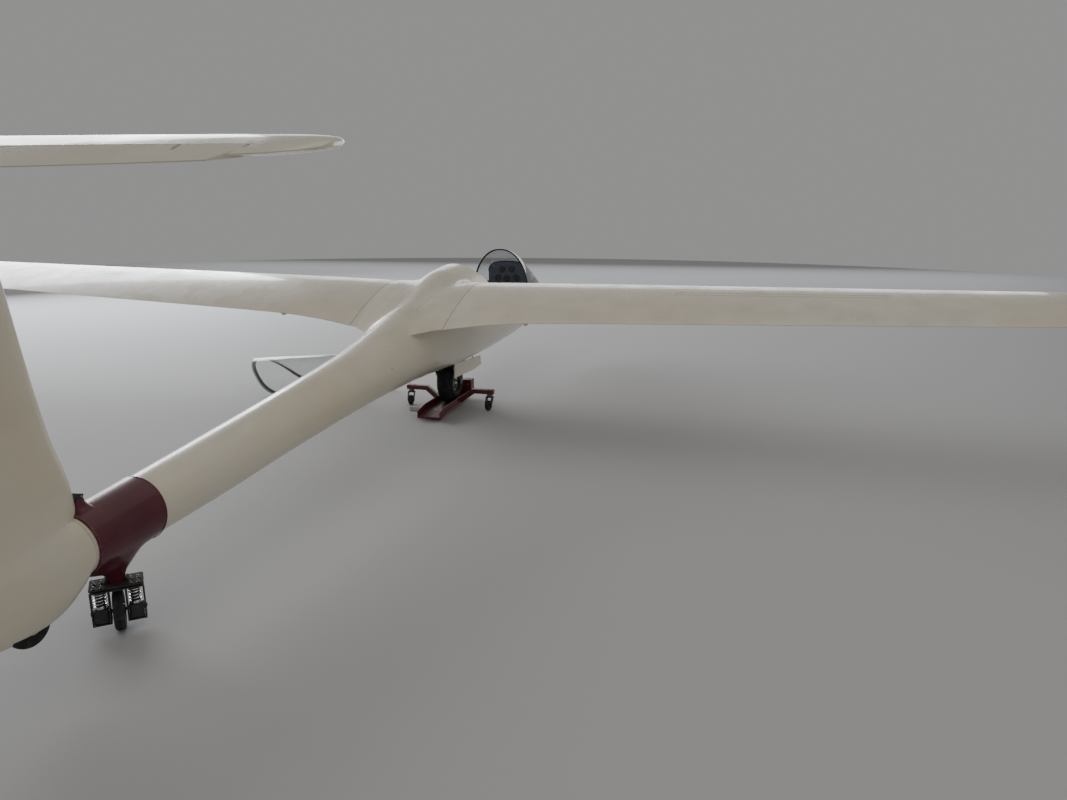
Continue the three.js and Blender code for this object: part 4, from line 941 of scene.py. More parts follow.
# %% Aileron axis and cuts
RUNNING_GAP = 5
HALF_SPAN = 7500
AILERON = {"inner": 4350, "outer": 7150, "part": 0.8, "lugs": (4500, 5750, 6980)}
AILERON_ENDS = (AILERON["inner"] + RUNNING_GAP, AILERON["outer"] - RUNNING_GAP)


def aileron_hinge(span):
    """Station, height and nose radius of the hinge at a distance along the span."""
    nose, chord, height, incidence, thickness = read_table(WING, span)[0]
    part = AILERON["part"]
    lift = float(camber_line(np.array(part), FOIL_CAMBER)) * chord
    _, y, z = placed_ring(np.array([[part * chord, lift]]), span, nose, height, incidence)[0]
    return np.array([TAIL_CASTOR_Y - y, z, float(foil_half(np.array(part), thickness)) * chord + 0.5])


def aileron_axis(span):
    start, end = (aileron_hinge(e) for e in AILERON_ENDS)
    return start + (end - start) * (span - AILERON_ENDS[0]) / (AILERON_ENDS[1] - AILERON_ENDS[0])


def plan_solid(outline, z0, z1):
    return outline_solid([(x, y_of(s)) for x, s in outline], "z", z0, z1)


def wing_forms(side):
    tip = [7230, 7290, 7340, 7380, 7410, 7435, 7455, 7470, 7482, 7491, 7497, HALF_SPAN]
    spans = [ROOT_JOINT + GAP, *np.arange(400, 4300, 150), *np.arange(4300, 7200, 90), *tip]
    whole = skin([wing_ring(side, span) for span in spans])

    def behind(first, last, shift):
        return plan_solid([(side * first, aileron_axis(first)[0] + shift(first)),
                           (side * last, aileron_axis(last)[0] + shift(last)), (side * last, 2000),
                           (side * first, 2000)], 700, 1400)

    def on_axis(span):
        station, height, _ = aileron_axis(span)
        return (side * span, y_of(station), height)

    first, last = AILERON_ENDS
    bay = behind(AILERON["inner"], AILERON["outer"], lambda span: aileron_axis(span)[2] + RUNNING_GAP + 1.5)
    panel = carved(whole, [bay])
    nose = tube_along([on_axis(first), on_axis(last)], [aileron_axis(first)[2], aileron_axis(last)[2]], 36)
    flap = carved(carved(whole, [behind(first, last, lambda span: 0.0)], "INTERSECT"), [nose], "UNION")
    flap = carved(flap, [tube_along([on_axis(span - 7), on_axis(span + 7)], aileron_axis(span)[2] + 3, 24)
                         for span in AILERON["lugs"]])
    lugs = Form()
    for span in AILERON["lugs"]:
        station, height, radius = aileron_axis(span)
        x, front = side * span, y_of(station + radius + RUNNING_GAP + 8)
        lugs.add(soft_block((x - 4, front, height - 7), (x + 4, y_of(station - 7), height + 7), 2, 6,
                            axis="x"))
        lugs.add(bar(on_axis(span - 16), on_axis(span + 16), 3.5, 16))
    return panel, flap, lugs


for label, side in (("port", 1), ("starboard", -1)):
    panel, flap, lugs = wing_forms(side)
    piece(f"wing_skin_{label}", panel, "airframe", GELCOAT, [f"wing_{label}"], angle=30)
    piece(f"aileron_skin_{label}", flap, f"aileron_{label}", GELCOAT, [f"aileron_{label}"],
          angle=30)
    piece(f"aileron_hinges_{label}", lugs, "airframe", ZINC)
    print("wing", label, len(panel.polygons), "faces")

# %% [markdown]
# The root joint is taped over and dirt collects in its edge, and in flight a flush lid covers the airbrake.
# Both are thin lines on a big smooth surface. They are laid on as dark strips half a millimetre thick, which
# keeps the wing's own mesh clean. Their colour is partly that dirt and partly the painted shade of a narrow
# gap.

# %% Root joint line, airbrake lid lines and aileron gap tape
def strip_round_wing(side, span, width, lift):
    """A strip laid round the whole section, `lift` proud of the skin."""
    corners = [(-width / 2, -0.6), (-width / 2, lift), (width / 2, lift), (width / 2, -0.6),
               (-width / 2, -0.6)]
    return skin([wing_ring(side, span + offset, grow, 60) for offset, grow in corners], cap=False)


def point_on_wing(side, span, part):
    """A point a tenth of a millimetre above the upper skin: distance along the span, part of the chord."""
    nose, chord, height, incidence, thickness = read_table(WING, span)[0]
    x = np.array(part)
    half = float(camber_line(x, FOIL_CAMBER) + foil_half(x, thickness))
    rise = half * chord + (TAIL_THICKNESS / 2 * part + 0.1)
    return Vector(placed_ring(np.array([[part * chord, rise]]), side * span, nose, height, incidence)[0])


def ribbon_on_wing(side, places, width, thick=0.35):
    """A flat ribbon through places given as (span, part of chord)."""
    centre = [point_on_wing(side, span, part) for span, part in places]
    ahead = [point_on_wing(side, span, part + 0.01) for span, part in places]
    rings = []
    for i, p in enumerate(centre):
        along = (centre[min(i + 1, len(centre) - 1)] - centre[max(i - 1, 0)]).normalized()
        normal = along.cross(ahead[i] - p).normalized()
        normal = -normal if normal.z < 0 else normal
        across = along.cross(normal) * width / 2
        rise = normal * thick
        rings.append([tuple(p - across - rise), tuple(p + across - rise), tuple(p + across * 0.8 + rise),
                      tuple(p - across * 0.8 + rise)])
    return skin(rings)


AIRBRAKE_SPANS, AIRBRAKE_PARTS, LINE_WIDTH = (1780, 3080), (0.46, 0.515), 1.3


def airbrake_lines(side):
    lines = Form()
    for part in AIRBRAKE_PARTS:
        lines.add(ribbon_on_wing(side, [(span, part) for span in np.linspace(*AIRBRAKE_SPANS, 24)],
                                 LINE_WIDTH))
    for span in AIRBRAKE_SPANS:
        lines.add(ribbon_on_wing(side, [(span, part) for part in np.linspace(*AIRBRAKE_PARTS, 5)],
                                 LINE_WIDTH))
    return lines


TAPE = mottled("white gap tape", ((0.80, 0.78, 0.71), (0.60, 0.57, 0.49)), (12, 5, 0.4, 0.75),
               (30, 3, 0.3, 0.45), (150, 3, 0.0003, 0.4), Coat_Weight=0.3, Coat_Roughness=0.2)

for label, side in (("port", 1), ("starboard", -1)):
    piece(f"root_joint_line_{label}", strip_round_wing(side, ROOT_JOINT + 1.5, 3.0, 0.35), "airframe", SEAM)
    piece(f"airbrake_lid_line_{label}", airbrake_lines(side), "airframe", SEAM)
    spans = np.linspace(AILERON["inner"] + 3, AILERON["outer"] - 3, 30)
    tape = ribbon_on_wing(side, [(span, 0.755) for span in spans], 14)
    piece(f"aileron_tape_{label}", tape, "airframe", TAPE)

# %% [markdown]
# ## Tail
# Behind the collar the fuselage deepens into a chin that holds the tail wheel, and the fin rises from it
# with the tailplane on top. The fin and the chin cross at a wide angle, so their crossing is relaxed as the
# wing root was.

# %% Chin and fin tables
TAIL_STATION = -970
COLLAR = {"rear": -160, "front": 170, "thickness": 7, "neck_bottom": 186, "neck_station": 12}
# Columns as in the table of the body
AFT_BODY = [
    (AFT_END_OF_BOOM - GAP, 283, 397, 512, 114, 1.9, 2), (-190, 250, 390, 514, 108, 1.8, 2),
    (-215, 220, 384, 517, 101, 1.7, 2), (-250, 193, 378, 520, 94, 1.7, 2), (-300, 175, 372, 524, 86, 1.7, 2),
    (-380, 167, 370, 528, 74, 1.8, 2), (-460, 171, 373, 530, 64, 1.9, 2), (-560, 188, 380, 530, 55, 2, 2),
    (-660, 216, 390, 530, 46, 2, 2), (-820, 268, 410, 530, 30, 2, 2), (-930, 302, 424, 530, 14, 2, 2),
    (TAIL_STATION, 318, 436, 530, 4, 2, 2),
]
# Columns: height, leading edge station, trailing edge station, thickness over the chord
FIN = [(430, -128, TAIL_STATION, 0.115), (540, -131, TAIL_STATION, 0.12), (620, -139, -968, 0.125),
       (825, -196, -962, 0.13), (1344, -282, -945, 0.13), (1745, -347, -932, 0.125)]
RUDDER = {"hinge": -662, "bottom": 262, "top": 1618, "radius": 31, "lugs": (330, 930, 1540)}
TAIL_WHEEL = {"station": -378, "height": 210, "radius": 80, "half": 22}

# %% Tailplane sections
STAB = {"nose": -250, "chord": 500, "height": 1762.6, "incidence": 9, "half": 1285}
STAB_ROWS = [(0, -250, 500), (1130, -330, 345), (1210, -345, 300), (1262, -372, 225), (1285, -415, 110)]
ELEVATOR = {"part": 0.7, "droop": 8, "end": 1130, "nose": 20, "lugs": (-950, -330, 330, 950)}


def stab_ring(x, grow=0.0):
    nose, chord = read_table(STAB_ROWS, abs(x))[0]
    drop = (STAB["nose"] - nose) * math.tan(math.radians(STAB["incidence"]))
    ring = foil_ring(chord, 0.12, 0, grow, 32)
    return placed_ring(ring, x, nose, STAB["height"] - drop, STAB["incidence"])


tip_spans = [1130, 1160, 1190, 1210, 1230, 1247, 1260, 1270, 1278, 1283, STAB["half"]]
half_spans = [0, 100, *np.arange(200, 1130, 90), *tip_spans]
stab_spans = [-x for x in half_spans[:0:-1]] + half_spans
stab_form = skin([stab_ring(x) for x in stab_spans])
to_hinge = ELEVATOR["part"] * STAB["chord"]
HINGE_STATION = STAB["nose"] - to_hinge * math.cos(math.radians(STAB["incidence"]))
HINGE_HEIGHT = STAB["height"] - to_hinge * math.sin(math.radians(STAB["incidence"]))

# %% Fin and rudder
fin_heights = np.linspace(430, 1745, 34)
fin_rings = []
for height, (nose, tail, thickness) in zip(fin_heights, read_table(FIN, fin_heights)):
    ring = foil_ring(nose - tail, thickness, 0, 0, 36)
    fin_rings.append(np.column_stack([ring[:, 1], TAIL_CASTOR_Y - nose + ring[:, 0],
                                      np.full(len(ring), height)]))
chin_stations = [AFT_END_OF_BOOM - GAP, *np.arange(-180, -260, -10), *np.arange(-265, -940, -22), -950, -962,
                 TAIL_STATION]
fin_form = Form().add(skin(fin_rings), 1)
tail_outline = carved(skin(sections(AFT_BODY, chin_stations, 0, 72)), [fin_form], "UNION")
front_of_tail = y_of(AFT_END_OF_BOOM - 22)
tail_outline = relaxed(tail_outline, 60, 12, lambda p: 0 if p.y < front_of_tail or abs(p.x) < 3 else 1)


def upright(height, reach, radius, sides=32):
    """A bar on the rudder's hinge line, reaching up and down from a height."""
    y = y_of(RUDDER["hinge"])
    return bar((0, y, height - reach), (0, y, height + reach), radius, sides)


def across(x, reach, radius, sides=28):
    """A bar on the elevator's hinge line, reaching both ways from x."""
    y = y_of(HINGE_STATION)
    return bar((x - reach, y, HINGE_HEIGHT), (x + reach, y, HINGE_HEIGHT), radius, sides)


slot_corner = (-28, y_of(TAIL_WHEEL["station"]), TAIL_WHEEL["height"])
wheel_slot = Form().add(disc(TAIL_WHEEL["radius"] + 7, 0, 56, slot_corner, ACROSS, 56), 1)
seat = skin([stab_ring(x, GAP) for x in stab_spans])
lifted_seat = seat.moved(Matrix.Translation((0, 0, 26)))
hinge_gap = RUDDER["radius"] + RUNNING_GAP
behind_hinge = station_block(-200, 200, RUDDER["hinge"] + hinge_gap, -1300, 50, 1900)
under_elevator = station_block(-200, 200, HINGE_STATION + ELEVATOR["nose"] + 12, -1100,
                               RUDDER["top"] + RUNNING_GAP, 1900)
boom_room = body_between([60, 0, -80, -130, AFT_END_OF_BOOM - GAP], -GAP, 72)
collar_room = body_between([60, 0, -80, COLLAR["rear"] - GAP], -COLLAR["thickness"] - GAP, 72)
fin_cuts = [behind_hinge, under_elevator, seat, lifted_seat, wheel_slot, boom_room, collar_room]
fin_mesh = carved(tail_outline.copy(), fin_cuts)
piece("fin_shell", fin_mesh, "airframe", [GELCOAT_TAIL, CABIN_PAINT], ["fin"], angle=30)

aft_of_hinge = station_block(-200, 200, RUDDER["hinge"], -1300, RUDDER["bottom"], RUDDER["top"])
rudder_mesh = carved(tail_outline.copy(), [aft_of_hinge], "INTERSECT")
middle = (RUDDER["top"] + RUDDER["bottom"]) / 2
nose_bar = carved(upright(middle, (RUDDER["top"] - RUDDER["bottom"]) / 2, RUDDER["radius"], 48),
                  [tail_outline.copy()], "INTERSECT")
rudder_mesh = carved(rudder_mesh, [nose_bar], "UNION")
rudder_mesh = carved(rudder_mesh, [upright(h, 6.5, RUDDER["radius"] + 4) for h in RUDDER["lugs"]])
piece("rudder_skin", rudder_mesh, "rudder", GELCOAT_TAIL, ["rudder"], angle=30)

rudder_lugs = Form()
for height in RUDDER["lugs"]:
    rudder_lugs.add(soft_block((-7, y_of(RUDDER["hinge"] + hinge_gap + 8), height - 4),
                               (7, y_of(RUDDER["hinge"] - 7), height + 4), 1.5, 5))
    rudder_lugs.add(upright(height, 16, 3.5, 16))
piece("rudder_hinges", rudder_lugs, "airframe", ZINC)
print("fin", len(fin_mesh.polygons), "rudder", len(rudder_mesh.polygons), "faces")

# %% Tailplane and drooping elevator
def elevator_block(half, front):
    return station_block(-half, half, front, -1100, 1500, 1900)


free = ELEVATOR["end"] + RUNNING_GAP
stab_mesh = carved(stab_form, [elevator_block(free, HINGE_STATION + ELEVATOR["nose"] + RUNNING_GAP)])
piece("tailplane_skin", stab_mesh, "airframe", GELCOAT_TAIL, ["tailplane"], angle=30)

flap = carved(stab_form, [elevator_block(ELEVATOR["end"], HINGE_STATION)], "INTERSECT")
roll = carved(across(0, ELEVATOR["end"], ELEVATOR["nose"], 40), [stab_form], "INTERSECT")
flap = carved(flap, [roll], "UNION")
corners = [plan_solid([(side * 1000, -780), (side * 1140, -600), (side * 1200, -600), (side * 1200, -1000),
                       (side * 1000, -1000)], 1500, 1900) for side in (1, -1)]
notches = [across(x, 6.5, ELEVATOR["nose"] + 4) for x in ELEVATOR["lugs"]]
flap = carved(flap, corners + notches)
hinge_point = Vector((0, y_of(HINGE_STATION), HINGE_HEIGHT)) / 1000
droop = Matrix.Translation(hinge_point) @ Matrix.Rotation(-math.radians(ELEVATOR["droop"]), 4, "X") @ \
    Matrix.Translation(-hinge_point)
flap.transform(droop)
piece("elevator_skin", flap, "elevator", GELCOAT_TAIL, ["elevator"], angle=30)

elevator_lugs = Form()
for x in ELEVATOR["lugs"]:
    elevator_lugs.add(soft_block((x - 4, y_of(HINGE_STATION + ELEVATOR["nose"] + RUNNING_GAP + 8),
                                  HINGE_HEIGHT - 6),
                                 (x + 4, y_of(HINGE_STATION - 6), HINGE_HEIGHT + 6), 1.5, 5, axis="x"))
    elevator_lugs.add(across(x, 16, 3.5, 16))
piece("elevator_hinges", elevator_lugs, "airframe", ZINC)

# %% [markdown]
# ## Canopy
# The canopy is two pieces of blown acrylic: a fixed windscreen that ends at a slim hoop, and a rear part
# that lifts off. Here the rear part lies across the floor. The acrylic has the body's own curve, so it is
# read from the same table, in rows that lean over from upright at the hoop to the rake of the rear rim.

# %% Rows of points over the cockpit
GLASS = 6


def surface_x(stations, heights, inset):
    """Half width of the body at places above its widest line."""
    bottom, wide, top, half, power, _ = read_table(BODY, stations).T
    share = np.clip((np.array(heights) - wide) / (top - inset - wide), 0, 1)
    return (half - inset) * (1 - share ** power) ** (1 / power)


def leaning_row(foot, lean, inset, count=30):
    """Points in a leaning plane, from a foot (station, height) to port over the top to the other side."""
    low, high = 0.0, 600.0
    for _ in range(40):
        reach = (low + high) / 2
        top = read_table(BODY, foot[0] + lean[0] * reach)[0][2] - inset
        low, high = (reach, high) if foot[1] + lean[1] * reach < top else (low, reach)
    bottom, wide, top, half, power, _ = read_table(BODY, foot[0])[0]
    start = max((foot[1] - wide) / (top - inset - wide), 0.02)
    angles = np.linspace(math.asin(min(start ** (power / 2), 1.0)), math.pi / 2, count)
    share = (np.sin(angles) ** (2 / power) - start) / max(1 - start, 1e-6)
    s = foot[0] + lean[0] * low * share
    z = foot[1] + lean[1] * low * share
    x = surface_x(s, z, inset)
    x[-1] = 0.0
    port = np.column_stack([x, y_of(s), z])
    return np.vstack([port, port[-2::-1] * (-1, 1, 1)])


def shell_between(outer_rows, inner_rows):
    """A closed sheet between two grids of rows."""
    outer, inner = skin(outer_rows, cap=False, loop=False), skin(inner_rows, cap=False, loop=False)
    form = Form().add(outer)
    form.faces = [f[::-1] for f in form.faces]
    form.add(inner)
    rows, count = len(outer_rows), len(outer_rows[0])
    border = [r * count for r in range(rows)] + [(rows - 1) * count + i for i in range(1, count)] + \
        [r * count + count - 1 for r in range(rows - 2, -1, -1)] + list(range(count - 2, 0, -1))
    shift = rows * count
    for a, b in zip(border, border[1:] + border[:1]):
        form.faces.append((a, b, b + shift, a + shift))
    form.finishes = [0] * (2 * (rows - 1) * (count - 1)) + [1] * len(border)
    return form


def sill_foot(station, lift=GAP):
    return (station, sill_height(station) + lift)


# %% Fixed windscreen with its bonded base band
glass_stations = [ARCH_STATION + GAP, *np.arange(4910, 5800, 45), 5820, 5845, 5862, 5874, 5881]
upright_lean = (0.0, 1.0)
outer_rows = [leaning_row(sill_foot(s), upright_lean, 0) for s in glass_stations]
inner_rows = [leaning_row(sill_foot(s), upright_lean, GLASS) for s in glass_stations]
piece("windscreen_glass", shell_between(outer_rows, inner_rows), "airframe", [ACRYLIC, ACRYLIC_EDGE],
      ["windscreen"], angle=40)


def sill_band(stations, low, high, inset, depth):
    """A strip bonded inside the glass along both sills."""
    form = Form()
    for side in (1, -1):
        rings = []
        for s in stations:
            z0, z1 = sill_height(s) + low, sill_height(s) + high
            a, b = surface_x([s, s], [z0, z1], inset)
            c, d = surface_x([s, s], [z1 - 1, z0 + 1], inset + depth)
            y = y_of(s)
            rings.append([(side * a, y, z0), (side * b, y, z1), (side * c, y, z1 - 1), (side * d, y, z0 + 1)])
        form.add(skin(rings))
    return form


base = sill_band([ARCH_STATION + 1, *np.arange(4920, 5700, 50), 5720, 5760, 5800], 0.6, 24, GLASS + 0.4, 5)
piece("windscreen_base_band", base, "airframe", SATIN_BLACK)

# %% The hoop behind the windscreen
# Columns: offset back from the front face, inset from the skin
HOOP_SECTION = [(0.6, 1.2), (2, 0.1), (20, 0.1), (21.6, 1.2), (21.8, 6), (21.2, 11), (19.5, 12), (2.5, 12),
                (0.8, 11), (0.5, 6)]


def hoop(section, lift, count=44):
    rings = []
    for back, inset in section + section[:1]:
        station = ARCH_STATION - back
        rings.append(leaning_row(sill_foot(station, lift), upright_lean, inset, count))
    grid = np.array(rings)
    return skin([grid[:, i] for i in range(grid.shape[1])])


hoop_form = hoop(HOOP_SECTION, GAP)
seal = hoop([(21.4, 3), (22.6, 2.4), (23.6, 4), (23.2, 8), (21.8, 9)], 2.0)
piece("windscreen_hoop", hoop_form.add(seal, 1), "airframe", [SATIN_BLACK, CASTOR_RUBBER],
      ["windscreen_arch"])

# %% Rear canopy laid on the floor
front_station = ARCH_STATION - ARCH_WIDTH - 4
LAID = {"x": 1135, "station": 3705, "turn": -93.4, "pivot": 4430, "rail": 24, "depth": 14}
sill_slope = math.atan2(SILL["rear"][1] - SILL["front"][1], SILL["front"][0] - SILL["rear"][0])
lay_down = Matrix.Translation((LAID["x"], y_of(LAID["station"]), 0)) @ \
    Matrix.Rotation(math.radians(LAID["turn"]), 4, "Z") @ Matrix.Rotation(-sill_slope, 4, "X") @ \
    Matrix.Translation((0, -y_of(LAID["pivot"]), -sill_height(LAID["pivot"])))


def canopy_feet(margin):
    """Feet of the rows along the sill and round the rear corner, with the lean of each row."""
    line = opening_line(margin)
    rim_top, corner = Vector(line[0]), [Vector(p) for p in line[1:-1]]
    sill = np.linspace(front_station - margin, corner[-1].x + 8, 24)
    feet = [Vector((s, sill_height(s) + margin)) for s in sill] + corner[::-1]
    rake = (rim_top - corner[0]).normalized()
    rows = []
    for i, foot in enumerate(feet):
        share = (i / (len(feet) - 1)) ** 1.6
        rows.append((tuple(foot), tuple(Vector((0, 1)).lerp(rake, share).normalized())))
    return rows


def canopy_rows(margin, inset):
    return [leaning_row(foot, lean, inset) for foot, lean in canopy_feet(margin)]


glass = shell_between(canopy_rows(0.6, 0.0), canopy_rows(0.6, 4.0))
piece("laid_canopy_glass", glass.moved(lay_down), "airframe", [ACRYLIC, ACRYLIC_EDGE],
      ["rear_canopy_glass"], angle=40)


def canopy_border(margin, inset):
    """The closed edge of the rear canopy: port sill and rim, starboard rim and sill, the front arc."""
    rows = canopy_rows(margin, inset)
    port = [row[0] for row in rows]
    starboard = [row[-1] for row in rows]
    rim = list(rows[-1][1:-1])
    front = list(rows[0][1:-1])
    return port + rim + starboard[::-1] + front[::-1]


def moulding(section):
    """A closed moulding round the edge of the rear canopy, laid down with it."""
    rings = np.array([canopy_border(margin, inset) for margin, inset in section + section[:1]])
    return skin([rings[:, i] for i in list(range(rings.shape[1])) + [0]], cap=False).moved(lay_down)


# Columns: margin in from the edge, inset below the skin
FRAME_SECTION = [(0.2, 4.4), (0.2, 13), (1.2, 14), (22.8, 14), (24, 12.8), (24, 5.4), (23.2, 4.4)]
piece("laid_canopy_frame", moulding(FRAME_SECTION), "airframe", SATIN_BLACK,
      ["rear_canopy_frame"])

# %% [markdown]
# Along the bonded edge the clear sheet has a pale grey band, where the adhesive shows through. Inside are
# two locking pins with their levers, on blocks riveted to the frame.

# %% Pale bonded band and locks of the laid canopy
BAND_SECTION = [(1.5, 4.1), (1.5, 4.35), (10, 4.35), (10, 4.1)]
PALE_BOND = mottled("pale bonding edge", ((0.50, 0.52, 0.53), (0.34, 0.355, 0.36)), (26, 5, 0.35, 0.7),
                    (50, 3, 0.4, 0.6), (220, 3, 0.0002, 0.5))
piece("laid_canopy_band", moulding(BAND_SECTION), "airframe", PALE_BOND)

locks = Form()
for side in (1, -1):
    for s in (4740, 4110):
        y, z = y_of(s), sill_height(s)
        x = side * float(surface_x([s], [z + 12], 15)[0])
        pin, bend, end, knob = [x - side * reach for reach in (7, 16, 30, 32)]
        locks.add(soft_block((x, y - 16, z + 3), (x - side * 14, y + 16, z + 21), 2, 3), 1)
        locks.add(bar((pin, y - 30, z + 12), (pin, y + 22, z + 12), 3.2, 16), 1)
        locks.add(tube_along([(pin, y + 2, z + 12), (bend, y + 2, z + 20), (end, y + 2, z + 24)], 2.6, 10), 1)
        locks.add(turned_form([(0, -7), (4, -6), (6, -2), (6.4, 2), (4.5, 6), (0, 7.5)],
                              (knob, y + 2, z + 24.5), (-side, 0, 0.2), 24), 0)
piece("laid_canopy_locks", locks.moved(lay_down), "airframe", [DARK_CASTING, ALUMINIUM])

# %% Seal and seam lines of the cockpit opening
def rim_path(margin, inset, front=5880):
    """The edge of the opening: from the port front along the sill, over the rear rim and forward again."""
    line = opening_line(margin, front=front)
    corner = [Vector(p) for p in line[1:-1]]
    rake = (Vector(line[0]) - corner[0]).normalized()
    sill = [(s, sill_height(s) + margin) for s in np.linspace(front, corner[-1].x + 10, 40)]
    points = [tuple(p) for p in sill] + [tuple(p) for p in corner[::-1]]
    side = [(float(surface_x([s], [z], inset)[0]), y_of(s), z) for s, z in points]
    over = leaning_row(tuple(corner[0]), tuple(rake), inset, 26)[1:-1]
    return side + [tuple(p) for p in over] + [(-x, y, z) for x, y, z in side[::-1]]


rim_seal = tube_along(rim_path(1.2, 11), 4.2, 10)
piece("cockpit_rim_seal", rim_seal, "airframe", CASTOR_RUBBER)
port_seam = [p for p in rim_path(0.15, -0.1) if p[1] < y_of(ARCH_STATION) and p[0] > 0]
seam = tube_along(port_seam[::-1] + [(-x, y, z) for x, y, z in port_seam], 0.8, 6)
piece("windscreen_seam", seam, "airframe", SEAM)

# %% [markdown]
# ## Cockpit
# The pilot lies almost flat in a moulded seat shell. Its side view is a short table of stations and
# heights; the shell, both cushions and the belts all follow that one curve, each at its own distance from
# it.

# %% Curve of the seat
SEAT = [(4930, 540), (4820, 521), (4640, 435), (4480, 407), (4340, 411), (4230, 470), (4130, 620),
        (4030, 840)]
seat_length = [0.0]
for (s0, z0), (s1, z1) in zip(SEAT, SEAT[1:]):
    seat_length.append(seat_length[-1] + math.hypot(s1 - s0, z1 - z0))
seat_rows = [(length, s, z) for length, (s, z) in zip(seat_length, SEAT)]
cabin_room = body_between([3990, *np.arange(4040, 5840, 60), 5855], CABIN_WALL + GAP, 96)


def on_seat(length, across, lift):
    """A point at a length along the seat from its front edge, off the middle, and above the seat."""
    (s0, z0), (s1, z1) = read_table(seat_rows, [length - 2, length + 2])
    direction = Vector((s1 - s0, z1 - z0)).normalized()
    return (across, y_of((s0 + s1) / 2 + direction.y * lift), (z0 + z1) / 2 - direction.x * lift)


def room_half(point):
    """Half the width of the cabin at a point below the widest line of the body."""
    bottom, wide, top, half, _, _ = read_table(BODY, TAIL_CASTOR_Y - point[1])[0]
    share = min(max((wide - point[2]) / (wide - bottom - CABIN_WALL), 0), 0.98)
    return (half - CABIN_WALL) * math.sqrt(1 - share ** 2)


# %% Seat shell
def seat_shell():
    """A sheet with raised sides and a rolled rim, trimmed to the cabin."""
    across = np.concatenate([np.linspace(-215, -150, 8), np.linspace(-120, 120, 9), np.linspace(150, 215, 8)])
    total, rings = seat_length[-1], []
    for length in np.linspace(0, total, 60):
        along = length / total
        raised = 42 * math.sin(math.pi * min(max(along * 1.25 - 0.08, 0), 1)) ** 0.7
        raised *= min(1, (1 - along) * 10)
        bend = [raised * max(0.0, (abs(x) - 150) / 65) ** 1.5 for x in across]
        top = [on_seat(length, x, -0.2 + b) for x, b in zip(across, bend)]
        under = [on_seat(length, x, b - (8 if 0.01 < along < 0.99 else 11.5)) for x, b in zip(across, bend)]
        rings.append(top + under[::-1])
    return skin(rings)


lining = Finish("moulded seat shell")
lining.colour(lining.clouds((0.235, 0.235, 0.23), (0.165, 0.165, 0.16), 14, 5, 0.35, 0.7))
lining.rough_patches(35, 3, 0.45, 0.62)
lining.bump(lining.weave(210, second="Z"), 0.0003, 0.4)
lining.bump(lining.noise(120, 3), 0.0003, 0.4)
shell = carved(seat_shell(), [cabin_room], "INTERSECT")
piece("seat_shell", shell, "airframe", lining.material, ["seat_pan"], angle=40)

# %% [markdown]
# The two cushions are sewn bags: a crown in the middle, sides that pull in between the corners, stitched
# channels with fine folds running off them, and a piping cord round the seam. They are shaped by moving
# points, because a pad this thin keeps its sewn outline, which a pressure simulation would puff out of its
# channels.

# %% Padded cushions with channels and piping
PULLED, REST, SEAM_AT = 9, GAP + 0.2, 0.42


def cushion(start, end, half, thick, channels):
    """A pad on the seat between two lengths. Channels are at shares of its length."""
    middle = thick * SEAM_AT

    def at(u, v, lift):
        waist = half - PULLED * max(0.0, math.sin(math.pi * u)) ** 0.8
        neck = PULLED * 0.7 * max(0.0, math.sin(math.pi * (v + 1) / 2)) ** 0.8
        length = start + neck + (end - start - 2 * neck) * u
        waist = min(waist, room_half(on_seat(length, 0, middle)) - 5)
        return on_seat(length, waist * v, lift + 10 * max(0.0, abs(v) * waist / 150 - 0.8))

    def heights(u, v):
        side = min(u * (end - start), (1 - u) * (end - start), (1 - abs(v)) * half)
        rounding = math.sqrt(max(0.0, 1 - (1 - min(side / 26, 1)) ** 2))
        crown = 1 - 0.16 * v * v - 0.10 * (2 * u - 1) ** 2
        sewn = sum(math.exp(-((u - c) * (end - start) / 7.5) ** 2) for c in channels)
        near = sum(math.exp(-((u - c) * (end - start) / 26) ** 2) for c in channels)
        folds = 0.9 * near * math.sin(v * 41 + 5 * u) * math.sin(v * 17 - 9 * u) * rounding
        top = middle + (thick * crown - middle) * rounding - sewn * thick * 0.30 * rounding + folds
        return top, middle - (middle - REST) * min(1.0, rounding * 1.15)

    us, vs = np.linspace(0, 1, 92), np.sin(np.linspace(-1, 1, 64) * math.pi / 2)
    top = [[at(u, v, heights(u, v)[0]) for v in vs] for u in us]
    low = [[at(u, v, heights(u, v)[1]) for v in vs] for u in us]
    form = skin(top, cap=False, loop=False).add(skin(low, cap=False, loop=False), 0)
    edge = [(u, -1) for u in us] + [(1, v) for v in vs[1:]]
    edge += [(u, 1) for u in us[-2::-1]] + [(0, v) for v in vs[-2:0:-1]]
    piping = tube_along([at(u, v * 1.008, middle) for u, v in edge[::2]], 3.0, 8, closed=True)
    return form.add(piping, 1)


def canvas(name, dark, light):
    f = Finish(name, Sheen_Weight=0.4, Sheen_Roughness=0.5)
    thread = f.weave(330, 0.6)
    faded = f.clouds(dark, light, 7, 5, 0.35, 0.7)
    f.colour(f.mix(f.span(thread, 0.2, 0.9, 0, 0.28), faded, toned(light, 1.7)))
    f.rough_patches(60, 3, 0.82, 0.95)
    f.bump(thread, 0.0005, 0.6)
    f.bump(f.noise(55, 4), 0.0011, 0.35)
    return f.material


CANVAS = canvas("blue grey canvas", (0.060, 0.075, 0.105), (0.085, 0.10, 0.13))
PIPING = canvas("dark piping", (0.020, 0.022, 0.028), (0.034, 0.036, 0.042))
seat_pad = cushion(seat_length[1] + 4, seat_length[4] - 4, 150, 33, (0.2, 0.4, 0.6, 0.8))
back_pad = cushion(seat_length[5] + 14, seat_length[7] + 2, 165, 33, (0.22, 0.44, 0.66, 0.86))
for name, form, node in (("seat_pad", seat_pad, "seat_cushion"), ("back_pad", back_pad, "back_cushion")):
    pad = piece(name, form, "airframe", [CANVAS, PIPING], [node], angle=60)

